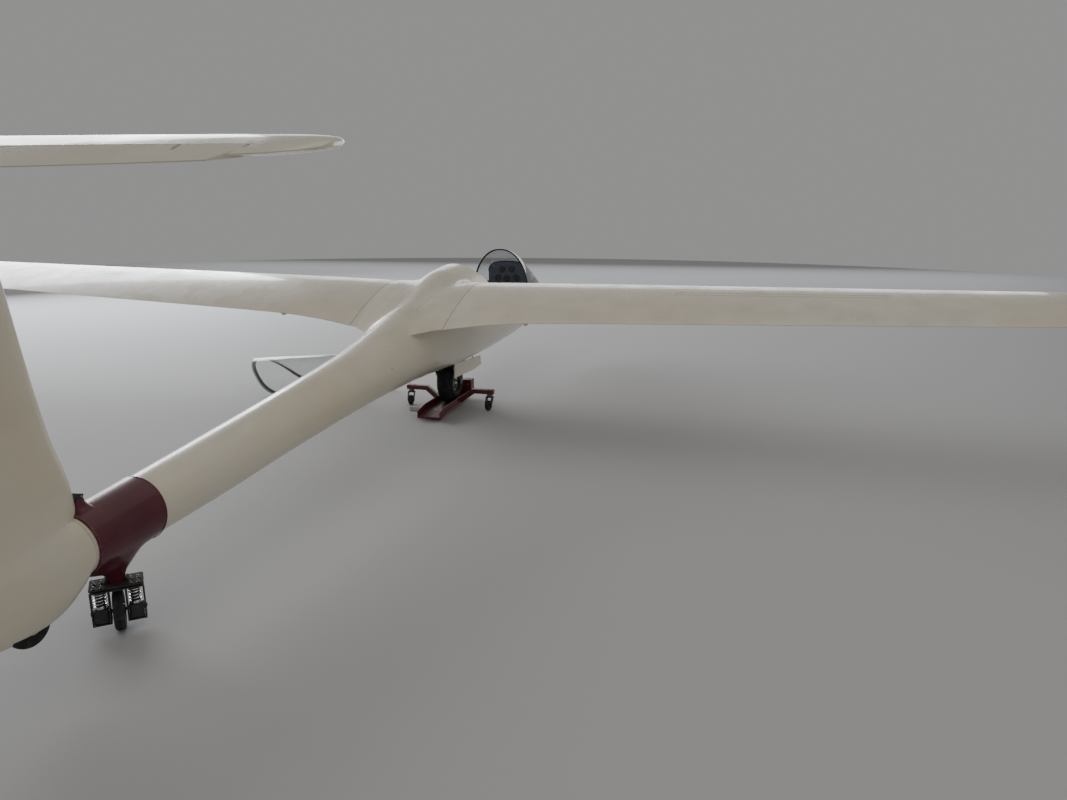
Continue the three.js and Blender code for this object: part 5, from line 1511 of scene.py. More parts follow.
# %% [markdown]
# Four flat belts meet in a round buckle on the lap. Webbing is a thin ribbon with a selvage, so each belt
# is drawn from a path over the cushions and a direction across it.

# %% Belts and buckle
def ribbon(path, across, width=44, thick=1.8):
    """A flat strap whose width lies along `across` at every point."""
    outline = ((-1, -0.3), (-0.9, -0.5), (0.9, -0.5), (1, -0.3), (1, 0.3), (0.9, 0.5), (-0.9, 0.5), (-1, 0.3))
    path, rings = [Vector(point) for point in path], []
    for i, point in enumerate(path):
        along = (path[min(i + 1, len(path) - 1)] - path[max(i - 1, 0)]).normalized()
        side = (Vector(across) - along * Vector(across).dot(along)).normalized()
        up = side.cross(along)
        rings.append([tuple(point + side * a * width / 2 + up * b * thick) for a, b in outline])
    return skin(rings)


belts, fittings = Form(), Form()
lap, head = seat_length[4] - 62, seat_length[7] + 6
lift_at = ((lap, seat_length[4], seat_length[5] + 30, seat_length[7]), (41, 58, 39, 36))
for side in (1, -1):
    shoulder = []
    for share in np.linspace(0, 1, 34):
        length = head - share * (head - lap - 26)
        on_back = float(np.interp(length, *lift_at))
        shoulder.append(on_seat(length, side * (78 - 62 * share ** 1.4), on_back))
    belts.add(ribbon(shoulder, ACROSS))
    fittings.add(ribbon([shoulder[12], shoulder[13]], ACROSS, 56, 6))
    waist = []
    for share in np.linspace(0, 1, 22):
        lift = float(np.interp(share, (0, 0.16, 0.32, 0.5, 1), (62, 50, 40, 38, 40)))
        length = lap + 62 * (1 - share) ** 1.3
        x = side * (26 + (room_half(on_seat(length, 0, lift)) - 34) * (1 - share))
        waist.append(on_seat(length, x, lift))
    belts.add(ribbon(waist, (0, 0.6, 0.8)))
    x, y, z = waist[0]
    fittings.add(soft_block((x - 3, y - 20, z - 22), (x + 3, y + 20, z + 10), 1.5, 6))
WEBBING = canvas("belt webbing", (0.032, 0.036, 0.045), (0.052, 0.056, 0.066))
piece("belts", belts, "airframe", WEBBING)
middle = Vector(on_seat(lap, 0, 40))
outward = (Vector(on_seat(lap, 0, 50)) - middle).normalized()
buckle = [(0, 0), (27, 0), (29, 2), (29, 9), (27, 11.5), (20, 12.5), (18, 15), (0, 15.5)]
fittings.add(turned_form(buckle, middle, outward, 48))
fittings.add(turned_form([(0, 15), (9, 15), (9, 17), (7, 18), (0, 18)], middle, outward, 24))
piece("belt_fittings", fittings, "airframe", ALUMINIUM)

# %% [markdown]
# ### Instrument panel
# The panel stands on a narrow pedestal and swells out to a round hood under the windscreen. A board carries
# five dials; below it sit a small radio with a blank window and a few switches.

# %% Panel and hood
PANEL = {"station": 5107, "thickness": 24, "half": 195, "top": 1041, "foot": 300, "corner": 95}


def panel_outline(shrink):
    half, top, corner = PANEL["half"] - shrink, PANEL["top"], PANEL["corner"]
    curves = [((half, top - corner), (half, top - 20), (half - corner, top - 8)),
              ((half - corner, top - 8), (0, top + 8), (-half + corner, top - 8)),
              ((-half + corner, top - 8), (-half, top - 20), (-half, top - corner))]
    points = [(-70 + shrink, PANEL["foot"]), (70 - shrink, PANEL["foot"]), (95 - shrink, 740), (half, 830)]
    for a, b, c in curves:
        a, b, c = Vector(a), Vector(b), Vector(c)
        points += [tuple(a * (1 - t) ** 2 + b * 2 * t * (1 - t) + c * t * t - Vector((0, shrink * 0.8)))
                   for t in np.linspace(0, 1, 15)[(0 if a.x > 0 and b.x > 0 else 1):]]
    return points + [(-half, 830), (-95 + shrink, 740)]


def drawn_along(rows):
    """A loft of the panel's outline through (station, shrink, scale, drop)."""
    rings = []
    top = PANEL["top"]
    for station, shrink, scale, drop in rows:
        outline = panel_outline(shrink)
        if drop or scale != 1:
            outline = [(x * scale, max(700, top - (top - z) * scale - drop)) for x, z in outline]
        rings.append([(x, y_of(station), z) for x, z in outline])
    return skin(rings)


under_glass = body_between([5040, *np.arange(5080, 5800, 40), 5800], GLASS + 3, 96)
face = PANEL["station"]
board = drawn_along([(face + back, shrink, 1, 0)
                     for back, shrink in ((0, 4), (0.6, 2), (2.4, 0.6), (21.6, 0.6),
                                          (PANEL["thickness"], 4))])
room = carved(cabin_room, [station_block(-400, 400, 5000, 5840, 850, 1300)], "UNION")
board = carved(board, [under_glass, room], "INTERSECT")
piece("panel_shell", board, "airframe", SLATE, ["instrument_panel"])

hood_rows = [(face + 24.3, 2, 1, 0)]
for share in np.linspace(0.06, 1, 16):
    scale, drop = 1 - 0.24 * share - 0.16 * share ** 2, 20 * share + 130 * share ** 1.4
    hood_rows.append((face + 24.3 + 428 * share, 2, scale, drop))
slope = side_solid([(5000, 780), (5900, 755), (5900, 1200), (5000, 1200)], -400, 400)
hood = carved(drawn_along(hood_rows), [under_glass, slope], "INTERSECT")
piece("panel_hood", hood, "airframe", SLATE, ["glare_shield"], angle=40)
lip = [(x, y_of(face + 1), z) for x, z in panel_outline(1.5) if z > 840]
piece("hood_lip", tube_along(lip, 4.5, 12), "airframe", SATIN_BLACK)

# %% Dials
# Columns: x, height, radius, needle angle, number of marks, sweep in degrees
DIALS = [(98, 880, 38, 210, 12, 300), (8, 872, 40, 0, 20, 360), (-88, 884, 38, 90, 10, 240),
         (52, 962, 30, 135, 8, 300), (-40, 965, 30, -40, 8, 270)]
TO_PILOT = (0, 1, 0)
BOARD_FRONT = y_of(face - 3.2)


def on_dial(x, z, reach, angle, lift):
    """A point at an angle (radians, clockwise from the top) on a dial, above the board."""
    return (x + reach * math.sin(angle), BOARD_FRONT + lift, z + reach * math.cos(angle))


board_outline = [(x, z + 918) for x, z in rounded_outline(150, 82, 16)]
dial_forms = Form().add(outline_solid(board_outline, "y", y_of(face - 0.3), y_of(face - 3.3)), 5)
for x in (-140, 140):
    for z in (846, 990):
        screw = [(0, 0), (4, 0), (4.2, 1), (2.5, 2), (0, 2)]
        dial_forms.add(turned_form(screw, (x, BOARD_FRONT, z), TO_PILOT, 16), 3)
glasses = Form()
for x, z, radius, needle, marks, sweep in DIALS:
    at = (x, BOARD_FRONT, z)
    rim = [(radius - 5, 0), (radius, 0), (radius, 3.4), (radius - 1, 4.6), (radius - 3.4, 4.6),
           (radius - 5, 2.6)]
    # The two upper dials, above 920 mm, get black rims in place of grey ones: painted shade that keeps them
    # dim.
    dial_forms.add(turned_form(rim, at, TO_PILOT, 64, closed=True), 1 if z < 920 else 0)
    dial_forms.add(disc(radius - 5, 0, 0.8, at, TO_PILOT, 64), 2)
    for k in range(marks):
        angle = math.radians(-sweep / 2 + sweep * k / (marks - (0 if sweep == 360 else 1)))
        inner, thick = (radius - 12, 0.75) if k % 2 == 0 else (radius - 9, 0.45)
        dial_forms.add(bar(on_dial(x, z, radius - 6.5, angle, 0.9), on_dial(x, z, inner, angle, 0.9), thick,
                           6), 4)
    angle = math.radians(needle)
    dial_forms.add(bar(on_dial(x, z, -7, angle, 2), on_dial(x, z, radius - 11, angle, 2), 0.9, 8), 4)
    dial_forms.add(turned_form([(0, 0.5), (3.4, 0.5), (3.4, 2.6), (0, 3)], at, TO_PILOT, 20), 1)
    glasses.add(disc(radius - 5.2, 3.2, 4.0, at, TO_PILOT, 48))
DIAL_FACE = mottled("dial face", ((0.012, 0.013, 0.016), (0.022, 0.023, 0.026)), (30, 3, 0.3, 0.7),
                    (80, 3, 0.5, 0.65), (400, 2, 0.0001, 0.4))
DIAL_MARK = mottled("pale dial paint", ((0.36, 0.37, 0.34), (0.27, 0.28, 0.26)), (90, 3, 0.3, 0.7),
                    (80, 3, 0.5, 0.65), None)
DIAL_RING = black_paint("grey dial ring", (0.10, 0.105, 0.11), 0.4)
dial_finishes = [SATIN_BLACK, DIAL_RING, DIAL_FACE, ZINC, DIAL_MARK, SLATE]
piece("dial_board", dial_forms, "airframe", dial_finishes, ["instrument_dials"])
piece("dial_glasses", glasses, "airframe", ACRYLIC)

# %% Radio, switches and knobs on the panel
def painted(name, colour):
    return mottled(name, (colour, toned(colour, 0.72)), (35, 4, 0.35, 0.7), (60, 3, 0.35, 0.55),
                   (300, 3, 0.0002, 0.4), Coat_Weight=0.1, Coat_Roughness=0.3)


YELLOW_KNOB, BLUE_KNOB = painted("yellow knob", (0.62, 0.40, 0.035)), painted("blue knob", (0.03, 0.09, 0.32))
RED_KNOB, GREEN_KNOB = painted("red knob", (0.36, 0.022, 0.02)), painted("green knob", (0.03, 0.16, 0.06))
PALE_PLASTIC = painted("pale plastic", (0.66, 0.66, 0.63))
RADIO_KNOB = [(0, 0), (10, 0), (10, 2), (8.4, 3), (8.0, 11), (7.0, 12.5), (0, 12.5)]
SWITCH_RING = [(0, 0), (4.6, 0), (4.6, 1.4), (3.2, 2), (0, 2)]
PULL_KNOB = [(0, 0), (9, 0), (14, 4), (15, 9), (12, 14), (0, 16)]
NOZZLE = [(0, 0), (7, 0), (7, 5), (5.5, 7), (5.5, 40), (4, 44), (0, 44)]
controls = Form()
controls.add(soft_block((-62, y_of(face - 0.2), 768), (62, y_of(face - 14), 824), 1.5, 4, axis="y"), 0)
controls.add(soft_block((-26, y_of(face - 13.6), 788), (26, y_of(face - 15.2), 814), 0.6, 2, axis="y"), 2)
for x in (-46, 46):
    controls.add(turned_form(RADIO_KNOB, (x, y_of(face - 13.8), 794), TO_PILOT, 24), 0)
for x in (-32, -16, 0, 16, 32):
    controls.add(turned_form(SWITCH_RING, (x, y_of(face - 0.2), 748), TO_PILOT, 18), 1)
    controls.add(bar((x, y_of(face - 1.5), 748), (x, y_of(face - 12), 743 if x else 753), 1.7, 10), 1)
controls.add(bar((-78, y_of(face), 800), (-78, y_of(face - 24), 800), 3.6, 14), 1)
controls.add(turned_form(PULL_KNOB, (-78, y_of(face - 22), 800), TO_PILOT, 28), 3)
controls.add(turned_form(NOZZLE, (152, y_of(face + 6), 1002), UP, 20), 4)
piece("panel_controls", controls, "airframe", [SATIN_BLACK, ZINC, DIAL_FACE, YELLOW_KNOB, PALE_PLASTIC])

# %% [markdown]
# ### Stick, pedals and side levers
# The stick rises through a ribbed rubber boot. The pedals are plates with pressed ribs on a cross tube, and
# the levers for airbrakes, trim and wheel run along the cabin walls, each with a knob of its own colour.

# %% Stick with boot and grip
foot, knee, hand = Vector((0, y_of(4965), 384)), Vector((0, y_of(4950), 640)), Vector((0, y_of(4930), 750))
stick = Form().add(tube_along([foot, foot.lerp(knee, 0.5), knee, knee.lerp(hand, 0.2)], 11, 20), 0)
boot = [(0, 0)]
for k in range(7):
    radius = 44 - 4.2 * k
    boot += [(radius, 10 * k), (radius - 1, 10 * k + 3), (radius - 8, 10 * k + 6), (radius - 8, 10 * k + 8)]
boot += [(13, 72), (12, 84), (0, 84)]
stick.add(turned_form(boot, (0, y_of(4962), 386), (0, -0.04, 1), 36), 1)
grip = [(0, 0), (14, 0), (17, 3), (17.5, 16), (15.5, 26), (17.8, 36), (15.8, 47), (18.2, 58), (16.2, 69),
        (19, 82), (20, 96), (18.5, 106), (12, 112), (0, 114)]
stick.add(turned_form(grip, knee, hand - knee, 32), 1)
button = [(0, 0), (5, 0), (5, 3), (3.8, 4.4), (0, 4.4)]
stick.add(turned_form(button, hand + Vector((0, 15, -6)), (0, 1, 0.3), 18), 2)
piece("stick", stick, "airframe", [BLACK_STEEL, CASTOR_RUBBER, RED_KNOB], ["control_stick"],
      angle=40)

# %% Pedals
PEDAL = {"station": 5480, "x": 78, "half": 42, "bottom": 505, "top": 620}
pedals = Form()
rod_at = (y_of(PEDAL["station"] + 6), PEDAL["bottom"] + 25)
# The cabin is as wide as this at the rod: the section table's row at the pedals, less the wall and the gap
wide, bottom, half_width, wall = 668, 402, 218, CABIN_WALL + GAP
rod_reach = math.sqrt(1 - ((wide - rod_at[1]) / (wide - bottom - wall)) ** 2) * (half_width - wall)
pedals.add(bar((-rod_reach, *rod_at), (rod_reach, *rod_at), 10, 24), 0)
for side in (1, -1):
    x0, x1 = sorted((side * (PEDAL["x"] - PEDAL["half"]), side * (PEDAL["x"] + PEDAL["half"])))
    near = y_of(PEDAL["station"])
    pedals.add(soft_block((x0, near - 6, PEDAL["bottom"]), (x1, near - 1.5, PEDAL["top"]), 1.6, 12, axis="y"),
               0)
    for z in np.arange(PEDAL["bottom"] + 14, PEDAL["top"] - 8, 13):
        pedals.add(soft_block((x0 + 8, near - 2.5, z), (x1 - 8, near, z + 5), 1.2, 2), 1)
    for x in (x0, x1 - 3):
        pedals.add(soft_block((x, near - 12, PEDAL["bottom"] + 6), (x + 3, near - 5, PEDAL["top"] - 30), 1,
                              2), 0)
    for x in (x0 + 14, x1 - 14):
        pedals.add(bar((x, near - 12, rod_at[1]), (x, near - 4, rod_at[1]), 6, 14), 0)
piece("pedals", pedals, "airframe", [ALUMINIUM, CASTOR_RUBBER], ["rudder_pedals"])

# %% Levers along the cabin walls
# Columns: side, station, height, length, finish of the knob
LEVERS = [(1, 4560, 748, 260, 1), (1, 4400, 792, 120, 2), (-1, 4600, 760, 220, 3)]
LEVER_KNOB = [(0, 0), (6, 0), (12, 5), (14, 12), (12.5, 19), (7, 24), (0, 25)]
levers = Form()
for side, station, height, length, knob in LEVERS:
    stations = np.linspace(station - length / 2, station + length / 2, 10)
    wall_x = surface_x(stations, [height] * 10, CABIN_WALL + 12)
    rail = [(side * float(x), y_of(s), height) for x, s in zip(wall_x, stations)]
    levers.add(tube_along(rail, 5, 12), 0)
    for x, y, z in (rail[0], rail[-1]):
        levers.add(soft_block((x, y - 9, z - 9), (x + side * 12.5, y + 9, z + 9), 1.5, 4), 0)
    at = Vector(rail[6])
    levers.add(bar(at, at + Vector((-side * 34, 0, 10)), 4.2, 14), 0)
    levers.add(turned_form(LEVER_KNOB, at + Vector((-side * 30, 0, 9)), (-side, 0, 0.3), 28), knob)
piece("side_levers", levers, "airframe", [ZINC, BLUE_KNOB, GREEN_KNOB, SATIN_BLACK])

# %% [markdown]
# ## Tail dolly
# A laminated collar wraps the end of the boom and runs down into a neck. It is one soft shape, the way a
# laminate is laid over a foam plug. A bevel on the crossing would leave a crease where the web under the
# boom begins, so the joined plug gets an even new skin and is rubbed smooth below the boom; only then are
# its ends cut and it is hollowed with the boom's own shape.

# %% Collar and neck
# Columns: height, front station, rear station, half width
FUNNEL = [(186, 45, -21, 32), (202, 47, -24, 34), (222, 56, -38, 41), (238, 66, -66, 50), (248, 76, -106, 57),
          (262, 88, -140, 66), (286, 109, -152, 80), (320, 141, -156, 96), (360, 156, -156, 104),
          (400, 161, -156, 106)]
NECK_MIDDLE = COLLAR["neck_station"]


def neck_plug():
    """The neck as a funnel that runs up inside the sleeve. Towards the rear it narrows to a keel."""
    rings = []
    heights = np.concatenate([np.arange(160, 186, 6), np.arange(186, 401, 8)])
    turn = 2 * np.pi * np.arange(72) / 72
    for height, (front, rear, half) in zip(heights, read_table(FUNNEL, heights)):
        reach = np.where(np.sin(turn) >= 0, front - NECK_MIDDLE, NECK_MIDDLE - rear)
        longer = max(0.0, min((NECK_MIDDLE - rear) / half - 1.1, 0.5))
        keel = np.where(np.sin(turn) < 0, longer, 0) * np.sin(turn) ** 2
        rings.append(np.column_stack([np.cos(turn) * half * (1 - keel),
                                      y_of(NECK_MIDDLE + np.sin(turn) * reach), np.full(72, height)]))
    return skin(rings)


def remeshed(mesh, size):
    """The same shape under an even net of squares."""
    work = linked("work", mesh)
    even = work.modifiers.new("even", "REMESH")
    even.mode = "VOXEL"
    even.voxel_size = size / 1000
    result = bpy.data.meshes.new_from_object(work.evaluated_get(bpy.context.evaluated_depsgraph_get()))
    bpy.data.objects.remove(work)
    return result


def rubbed(mesh, rounds, strength):
    """Smoothing whose strength depends on the height in millimetres."""
    places, ends = np.zeros(len(mesh.vertices) * 3), np.zeros(len(mesh.edges) * 2, np.int64)
    mesh.vertices.foreach_get("co", places)
    mesh.edges.foreach_get("vertices", ends)
    places = places.reshape(-1, 3)
    share = np.array([0.7 * strength(z * 1000) for z in places[:, 2]])[:, None]
    places = averaged(places, ends.reshape(-1, 2).T, share, rounds)
    mesh.vertices.foreach_set("co", places.ravel())
    mesh.update()
    return mesh


sleeve = body_between(np.arange(190, -181, -10), -COLLAR["thickness"])
plug = remeshed(carved(sleeve, [neck_plug()], "UNION"), 4.5)
plug = rubbed(plug, 90, lambda z: float(np.interp(z, (188, 214, 330, 400), (0.15, 1, 1, 0))))
between_ends = station_block(-300, 300, COLLAR["rear"], COLLAR["front"], COLLAR["neck_bottom"], 700)
boom_space = body_between([260, 200, *np.arange(170, -170, -15), AFT_END_OF_BOOM], -GAP)
collar = carved(carved(plug, [between_ends], "INTERSECT"), [boom_space])
piece("collar_shell", collar, "airframe", MAROON, ["tail_collar"], angle=35)
print("collar:", len(collar.polygons), "faces")

# %% [markdown]
# The rims of the collar are rolled back into a thin rounded lip, where the cloth was trimmed. On top, near
# the fin, the laminate swells into a foot for the clasp: a dark block that leans forward and takes the
# strap hook.

# %% Collar lips and clasp
def ring_band(station, high):
    """A lip round the boom, 6 mm wide, from 5 mm to its full height above the boom's skin."""
    outline = ((-3, 5), (-3, high - 0.6), (-1.8, high), (1.8, high), (3, high - 0.6), (3, 5), (-3, 5))
    return skin([sections(BODY, [station + offset], -h, 96)[0] for offset, h in outline], cap=False)


piece("collar_lips", ring_band(166.5, 8.0).add(ring_band(-156.5, 7.8)), "airframe", MAROON)


def clasp_foot():
    """A swelling that rises from the collar's back and narrows to the clasp."""
    # Columns: height, rear station, front station, half width
    table = [(512, -156, -52, 46), (522, -152, -64, 38), (530, -147, -74, 30), (540, -141, -84, 23),
             (551, -134, -91, 18.5), (562, -128, -92, 16)]
    rings = []
    for z, rear, front, half in table:
        middle, reach = (rear + front) / 2, (front - rear) / 2
        outline = rounded_outline(half, reach, min(half, reach) * 0.72, 8)
        rings.append([(x, y_of(middle) - y, z) for x, y in outline])
    return skin(rings)


foot = carved(clasp_foot(), [body_between([0, -40, -80, -120, -158], -4.5)])
piece("clasp_foot", foot, "airframe", MAROON, angle=50)
lean = Matrix.Translation((0, y_of(-112), 560)) @ Matrix.Rotation(math.radians(17), 4, "X")
clasp = Form()
clasp.add(soft_block((-15, -15, -8), (15, 15, 22.5), 4.5, 7, 5), 0)
clasp.add(soft_block((-9, -17.2, -3), (9, -14.6, 15), 1, 2), 1)
clasp.add(bar((-17, -2, 12), (17, -2, 12), 3.6, 16), 1)
for x in (-8, 8):
    clasp.add(bolt((x, 1, 22.4), UP, 3.6, 1.6, washer=False), 1)
piece("clasp_block", clasp.moved(lean), "airframe", [DARK_CASTING, ZINC],
      ["tail_collar_clasp"])

# %% [markdown]
# The castor under the neck carries its wheel between two sprung blocks. Each block slides in a frame of
# thin flat bar against a coil spring. The springs are wound as real helices, because their bright turns are
# what one sees.

# %% Castor plate and frames
PLATE_TOP, PLATE_BOTTOM, FRAME_TOP, FRAME_BOTTOM, BLOCK_TOP = 185.7, 178.7, 172.4, 34, 96
CASTOR_RADIUS, CASTOR_HALF, FLAT_BAR, CASTOR_TURN = 78, 19, 5, 41
trail, inner, outer, depth = 32, 27, 93, 25
swing = Matrix.Translation((0, y_of(NECK_MIDDLE), 0)) @ Matrix.Rotation(math.radians(CASTOR_TURN), 4, "Z")

plate = Form()
plate.add(soft_block((-outer, -40, PLATE_BOTTOM), (outer, 62, PLATE_TOP), 1.2, 9), 0)
plate.add(turned_form([(0, 0), (24, 0), (28, 2), (28, 6), (0, 6)], (0, 0, PLATE_BOTTOM - 6), UP, 40), 0)
for x in (-76, -50, 50, 76):
    for y in (8, 50):
        plate.add(bolt((x, y, PLATE_TOP), UP, 6.0), 1)
        plate.add(turned_form([(0, 0), (3, 0), (3, 10.4), (2.2, 11.2), (0, 11.2)], (x, y, PLATE_TOP), UP, 14),
                  1)
for x in (-38, 38):
    plate.add(soft_block((x - 3, -20, PLATE_TOP - 0.5), (x + 3, 30, PLATE_TOP + 12), 1.5, 2.5), 0)
piece("castor_plate", plate.moved(swing), "tail_castor", [DULL_STEEL, WORN_ZINC],
      ["tail_castor_plate"])

frames, blocks = Form(), Form()
frames.add(soft_block((-outer, -30, FRAME_TOP - 6), (outer, trail + depth, FRAME_TOP), 1.2, 6))
for side in (1, -1):
    x0, x1 = sorted((side * inner, side * outer))
    middle = (x0 + x1) / 2
    for x in (x0, x1 - FLAT_BAR):
        for y in (trail - depth, trail + depth - 7):
            frames.add(soft_block((x, y, FRAME_BOTTOM), (x + FLAT_BAR, y + 7, FRAME_TOP - 3), 1, 1.5))
        frames.add(soft_block((x, trail - 9, FRAME_BOTTOM), (x + 3, trail + 9, BLOCK_TOP), 1, 1.2))
    frames.add(soft_block((x0, trail - depth, FRAME_BOTTOM), (x1, trail + depth, FRAME_BOTTOM + 5), 1, 3))
    blocks.add(soft_block((x0 + 8, trail - 22, FRAME_BOTTOM + 5.5), (x1 - 8, trail + 22, BLOCK_TOP), 4, 7))
    for z in (46, 58, 82):
        blocks.add(soft_block((x0 + 6.5, trail - 23.2, z), (x1 - 6.5, trail + 23.2, z + 4), 1.2, 6))
    for end in (BLOCK_TOP, FRAME_TOP - 9):
        blocks.add(turned_form([(0, 0), (23, 0), (24, 1), (24, 2.2), (23, 3), (0, 3)], (middle, trail, end),
                               UP, 30))
    blocks.add(disc(15.5, 0, 66, (middle, trail, BLOCK_TOP + 2), UP, 28))
frames.add(bar((-outer - 4, trail, CASTOR_RADIUS), (outer + 4, trail, CASTOR_RADIUS), 8, 20))
for side in (1, -1):
    frames.add(bolt((side * (outer + 0.2), trail, CASTOR_RADIUS), (side, 0, 0), 8.5, 3.4, washer=False))
frames_and_blocks = Form().add(frames, 0).add(blocks, 1)
piece("castor_frames", frames_and_blocks.moved(swing), "tail_castor", [BLACK_STEEL, DARK_CASTING],
      ["tail_castor_frames"])


# %% Coil springs
def coil(centre, low, high, mean, wire, turns, steps=22):
    """A helix with closed turns at both ends, as a compression spring is wound."""
    path = []
    total, length = int(turns * steps), high - low
    for i in range(total + 1):
        t = i / total
        rise = np.interp(t, (0, 1 / turns, 1 - 1 / turns, 1),
                         (wire, wire * 2.2, length - wire * 2.2, length - wire))
        angle = 2 * math.pi * turns * t
        path.append((centre[0] + mean * math.cos(angle), centre[1] + mean * math.sin(angle),
                     low + float(rise)))
    return tube_along(path, wire, 8)


for label, side in (("port", 1), ("starboard", -1)):
    x = side * (inner + outer) / 2
    spring = coil((x, trail), BLOCK_TOP + 3, FRAME_TOP - 9, 20.6, 2.9, 6)
    piece(f"castor_spring_{label}", spring.moved(swing), "tail_castor", SPRING_STEEL,
          [f"tail_castor_spring_{label}"])

# %% Castor wheel
r, half = CASTOR_RADIUS, CASTOR_HALF
tread = [(r - 22, -half + 3), (r - 12, -half), (r - 6, -half + 1), (r - 1.5, -half + 5), (r, -half + 9),
         (r, -5), (r - 1.4, -4.2), (r - 1.4, -2.6), (r, -1.8), (r, 1.8), (r - 1.4, 2.6), (r - 1.4, 4.2),
         (r, 5), (r, half - 9), (r - 1.5, half - 5), (r - 6, half - 1), (r - 12, half), (r - 22, half - 3)]
hub = [(8.3, -22), (17, -22), (19, -20), (20, -14), (26, -11), (r - 26, -12), (r - 22.3, -half + 2.5),
       (r - 22.3, half - 2.5), (r - 26, 12), (26, 11), (20, 14), (19, 20), (17, 22), (8.3, 22)]
wheel = Form()
wheel.add(turned_form(tread, (0, trail, r), ACROSS, 72, closed=True), 0)
wheel.add(turned_form(hub, (0, trail, r), ACROSS, 48, closed=True), 1)
for k in range(5):
    angle = 2 * math.pi * k / 5
    for face in (-1, 1):
        at = (face * 11, trail + 38 * math.sin(angle), r + 38 * math.cos(angle))
        wheel.add(bolt(at, (face, 0, 0), 3.6, washer=False), 2)
piece("castor_wheel", wheel.moved(swing), "tail_castor_roller", [CASTOR_RUBBER, DARK_CASTING, ZINC],
      ["tail_castor_wheel"])

# %% [markdown]
# ## Main wheel dolly
# The main wheel is rolled up a short ramp into a shallow tray and stopped by a box. Two cranked arms of
# square tube carry the castors. It is all shop welded, so every joint gets a small bead and every edge is
# broken.

# %% Beads and folded sheet
WHEEL_STATION = 3535
TRAY = {"rear": 3085, "front": 3862, "half": 91, "sheet": 4, "wall": 88, "ramp": 3240, "deck": 40}


def weld_bead(path, size=2.4):
    """A row of overlapping ripples along a joint."""
    path = [Vector(p) for p in path]
    lengths = [0.0]
    for a, b in zip(path, path[1:]):
        lengths.append(lengths[-1] + (b - a).length)
    at = np.linspace(0, lengths[-1], max(4, int(lengths[-1] / 3.2)))
    line = [tuple(float(np.interp(d, lengths, [p[k] for p in path])) for k in range(3)) for d in at]
    return tube_along(line, [size * (1.0 if i % 2 else 0.78) for i in range(len(at))], 7)


def swept_plate(side_line, half, thick, edge=1.0):
    """A sheet that follows a side view line of stations and heights, with rounded long edges."""
    inner, low = half - edge, -thick + edge
    outline = [(-half, low), (-inner, -thick), (inner, -thick), (half, low), (half, -edge), (inner, 0),
               (-inner, 0), (-half, -edge)]
    return skin([[(x, y_of(s), z + rise) for x, rise in outline] for s, z in side_line])


tray = Form()
deck, sheet, half = TRAY["deck"], TRAY["sheet"], TRAY["half"]
floor_line = [(TRAY["front"], deck), (3300, deck), (TRAY["ramp"] + 14, deck - 0.3),
              (TRAY["ramp"], deck - 1.2), (TRAY["ramp"] - 14, deck - 3), (TRAY["rear"], 18)]
tray.add(swept_plate(floor_line, half - 0.5, sheet), 1)
for side in (1, -1):
    wall = [(TRAY["front"], deck - sheet), (TRAY["front"], TRAY["wall"]), (TRAY["ramp"], TRAY["wall"]),
            (TRAY["ramp"] - 12, TRAY["wall"] - 0.8), (TRAY["rear"] + 6, 68), (TRAY["rear"], 63),
            (TRAY["rear"], 14), (TRAY["ramp"], deck - sheet)]
    x0, x1 = sorted((side * (half - sheet), side * half))
    tray.add(side_solid(wall, x0, x1), 0)
    lip = ((TRAY["front"] - 2, TRAY["wall"]), (TRAY["ramp"], TRAY["wall"]), (TRAY["rear"] + 6, 67))
    tray.add(tube_along([(side * (half - 2), y_of(s), z) for s, z in lip], 2.6, 10), 0)
    bead = [(side * (half - sheet - 0.5), y_of(s), z + 0.6) for s, z in floor_line]
    tray.add(weld_bead(bead, 2.2), 0)
tray.add(soft_block((-half, y_of(TRAY["rear"] + sheet), 14), (half, y_of(TRAY["rear"]), 30), 1.5, 2), 0)
for station in (3330, 3420, 3620, 3700):
    tray.add(soft_block((-70, y_of(station) - 4, deck - 0.5), (70, y_of(station) + 4, deck + 0.2), 0.3, 3), 1)
piece("tray_body", tray, "airframe", [ENAMEL, ENAMEL_FLOOR], ["dolly_tray"])

stop, stop_half = Form(), half - sheet - GAP
stop.add(soft_block((-stop_half, y_of(TRAY["front"]), deck + GAP), (stop_half, y_of(3782), 168), 2.5, 4), 0)
stop.add(tube_along([(-half + 6, y_of(3783), 166), (half - 6, y_of(3783), 166)], 2.6, 10), 1)
for x in (-60, 60):
    stop.add(bolt((x, y_of(3782) + 0.1, 130), (0, 1, 0), 6), 1)
piece("stop_box", stop, "airframe", [ENAMEL, ZINC], ["dolly_front_stop"])

# %% Cranked arms and the side tube
CASTOR_X = 332
ARM_TOP, ARM_DEPTH, ARM_HALF, ARM_CRANK = 158, 34, 22, 190


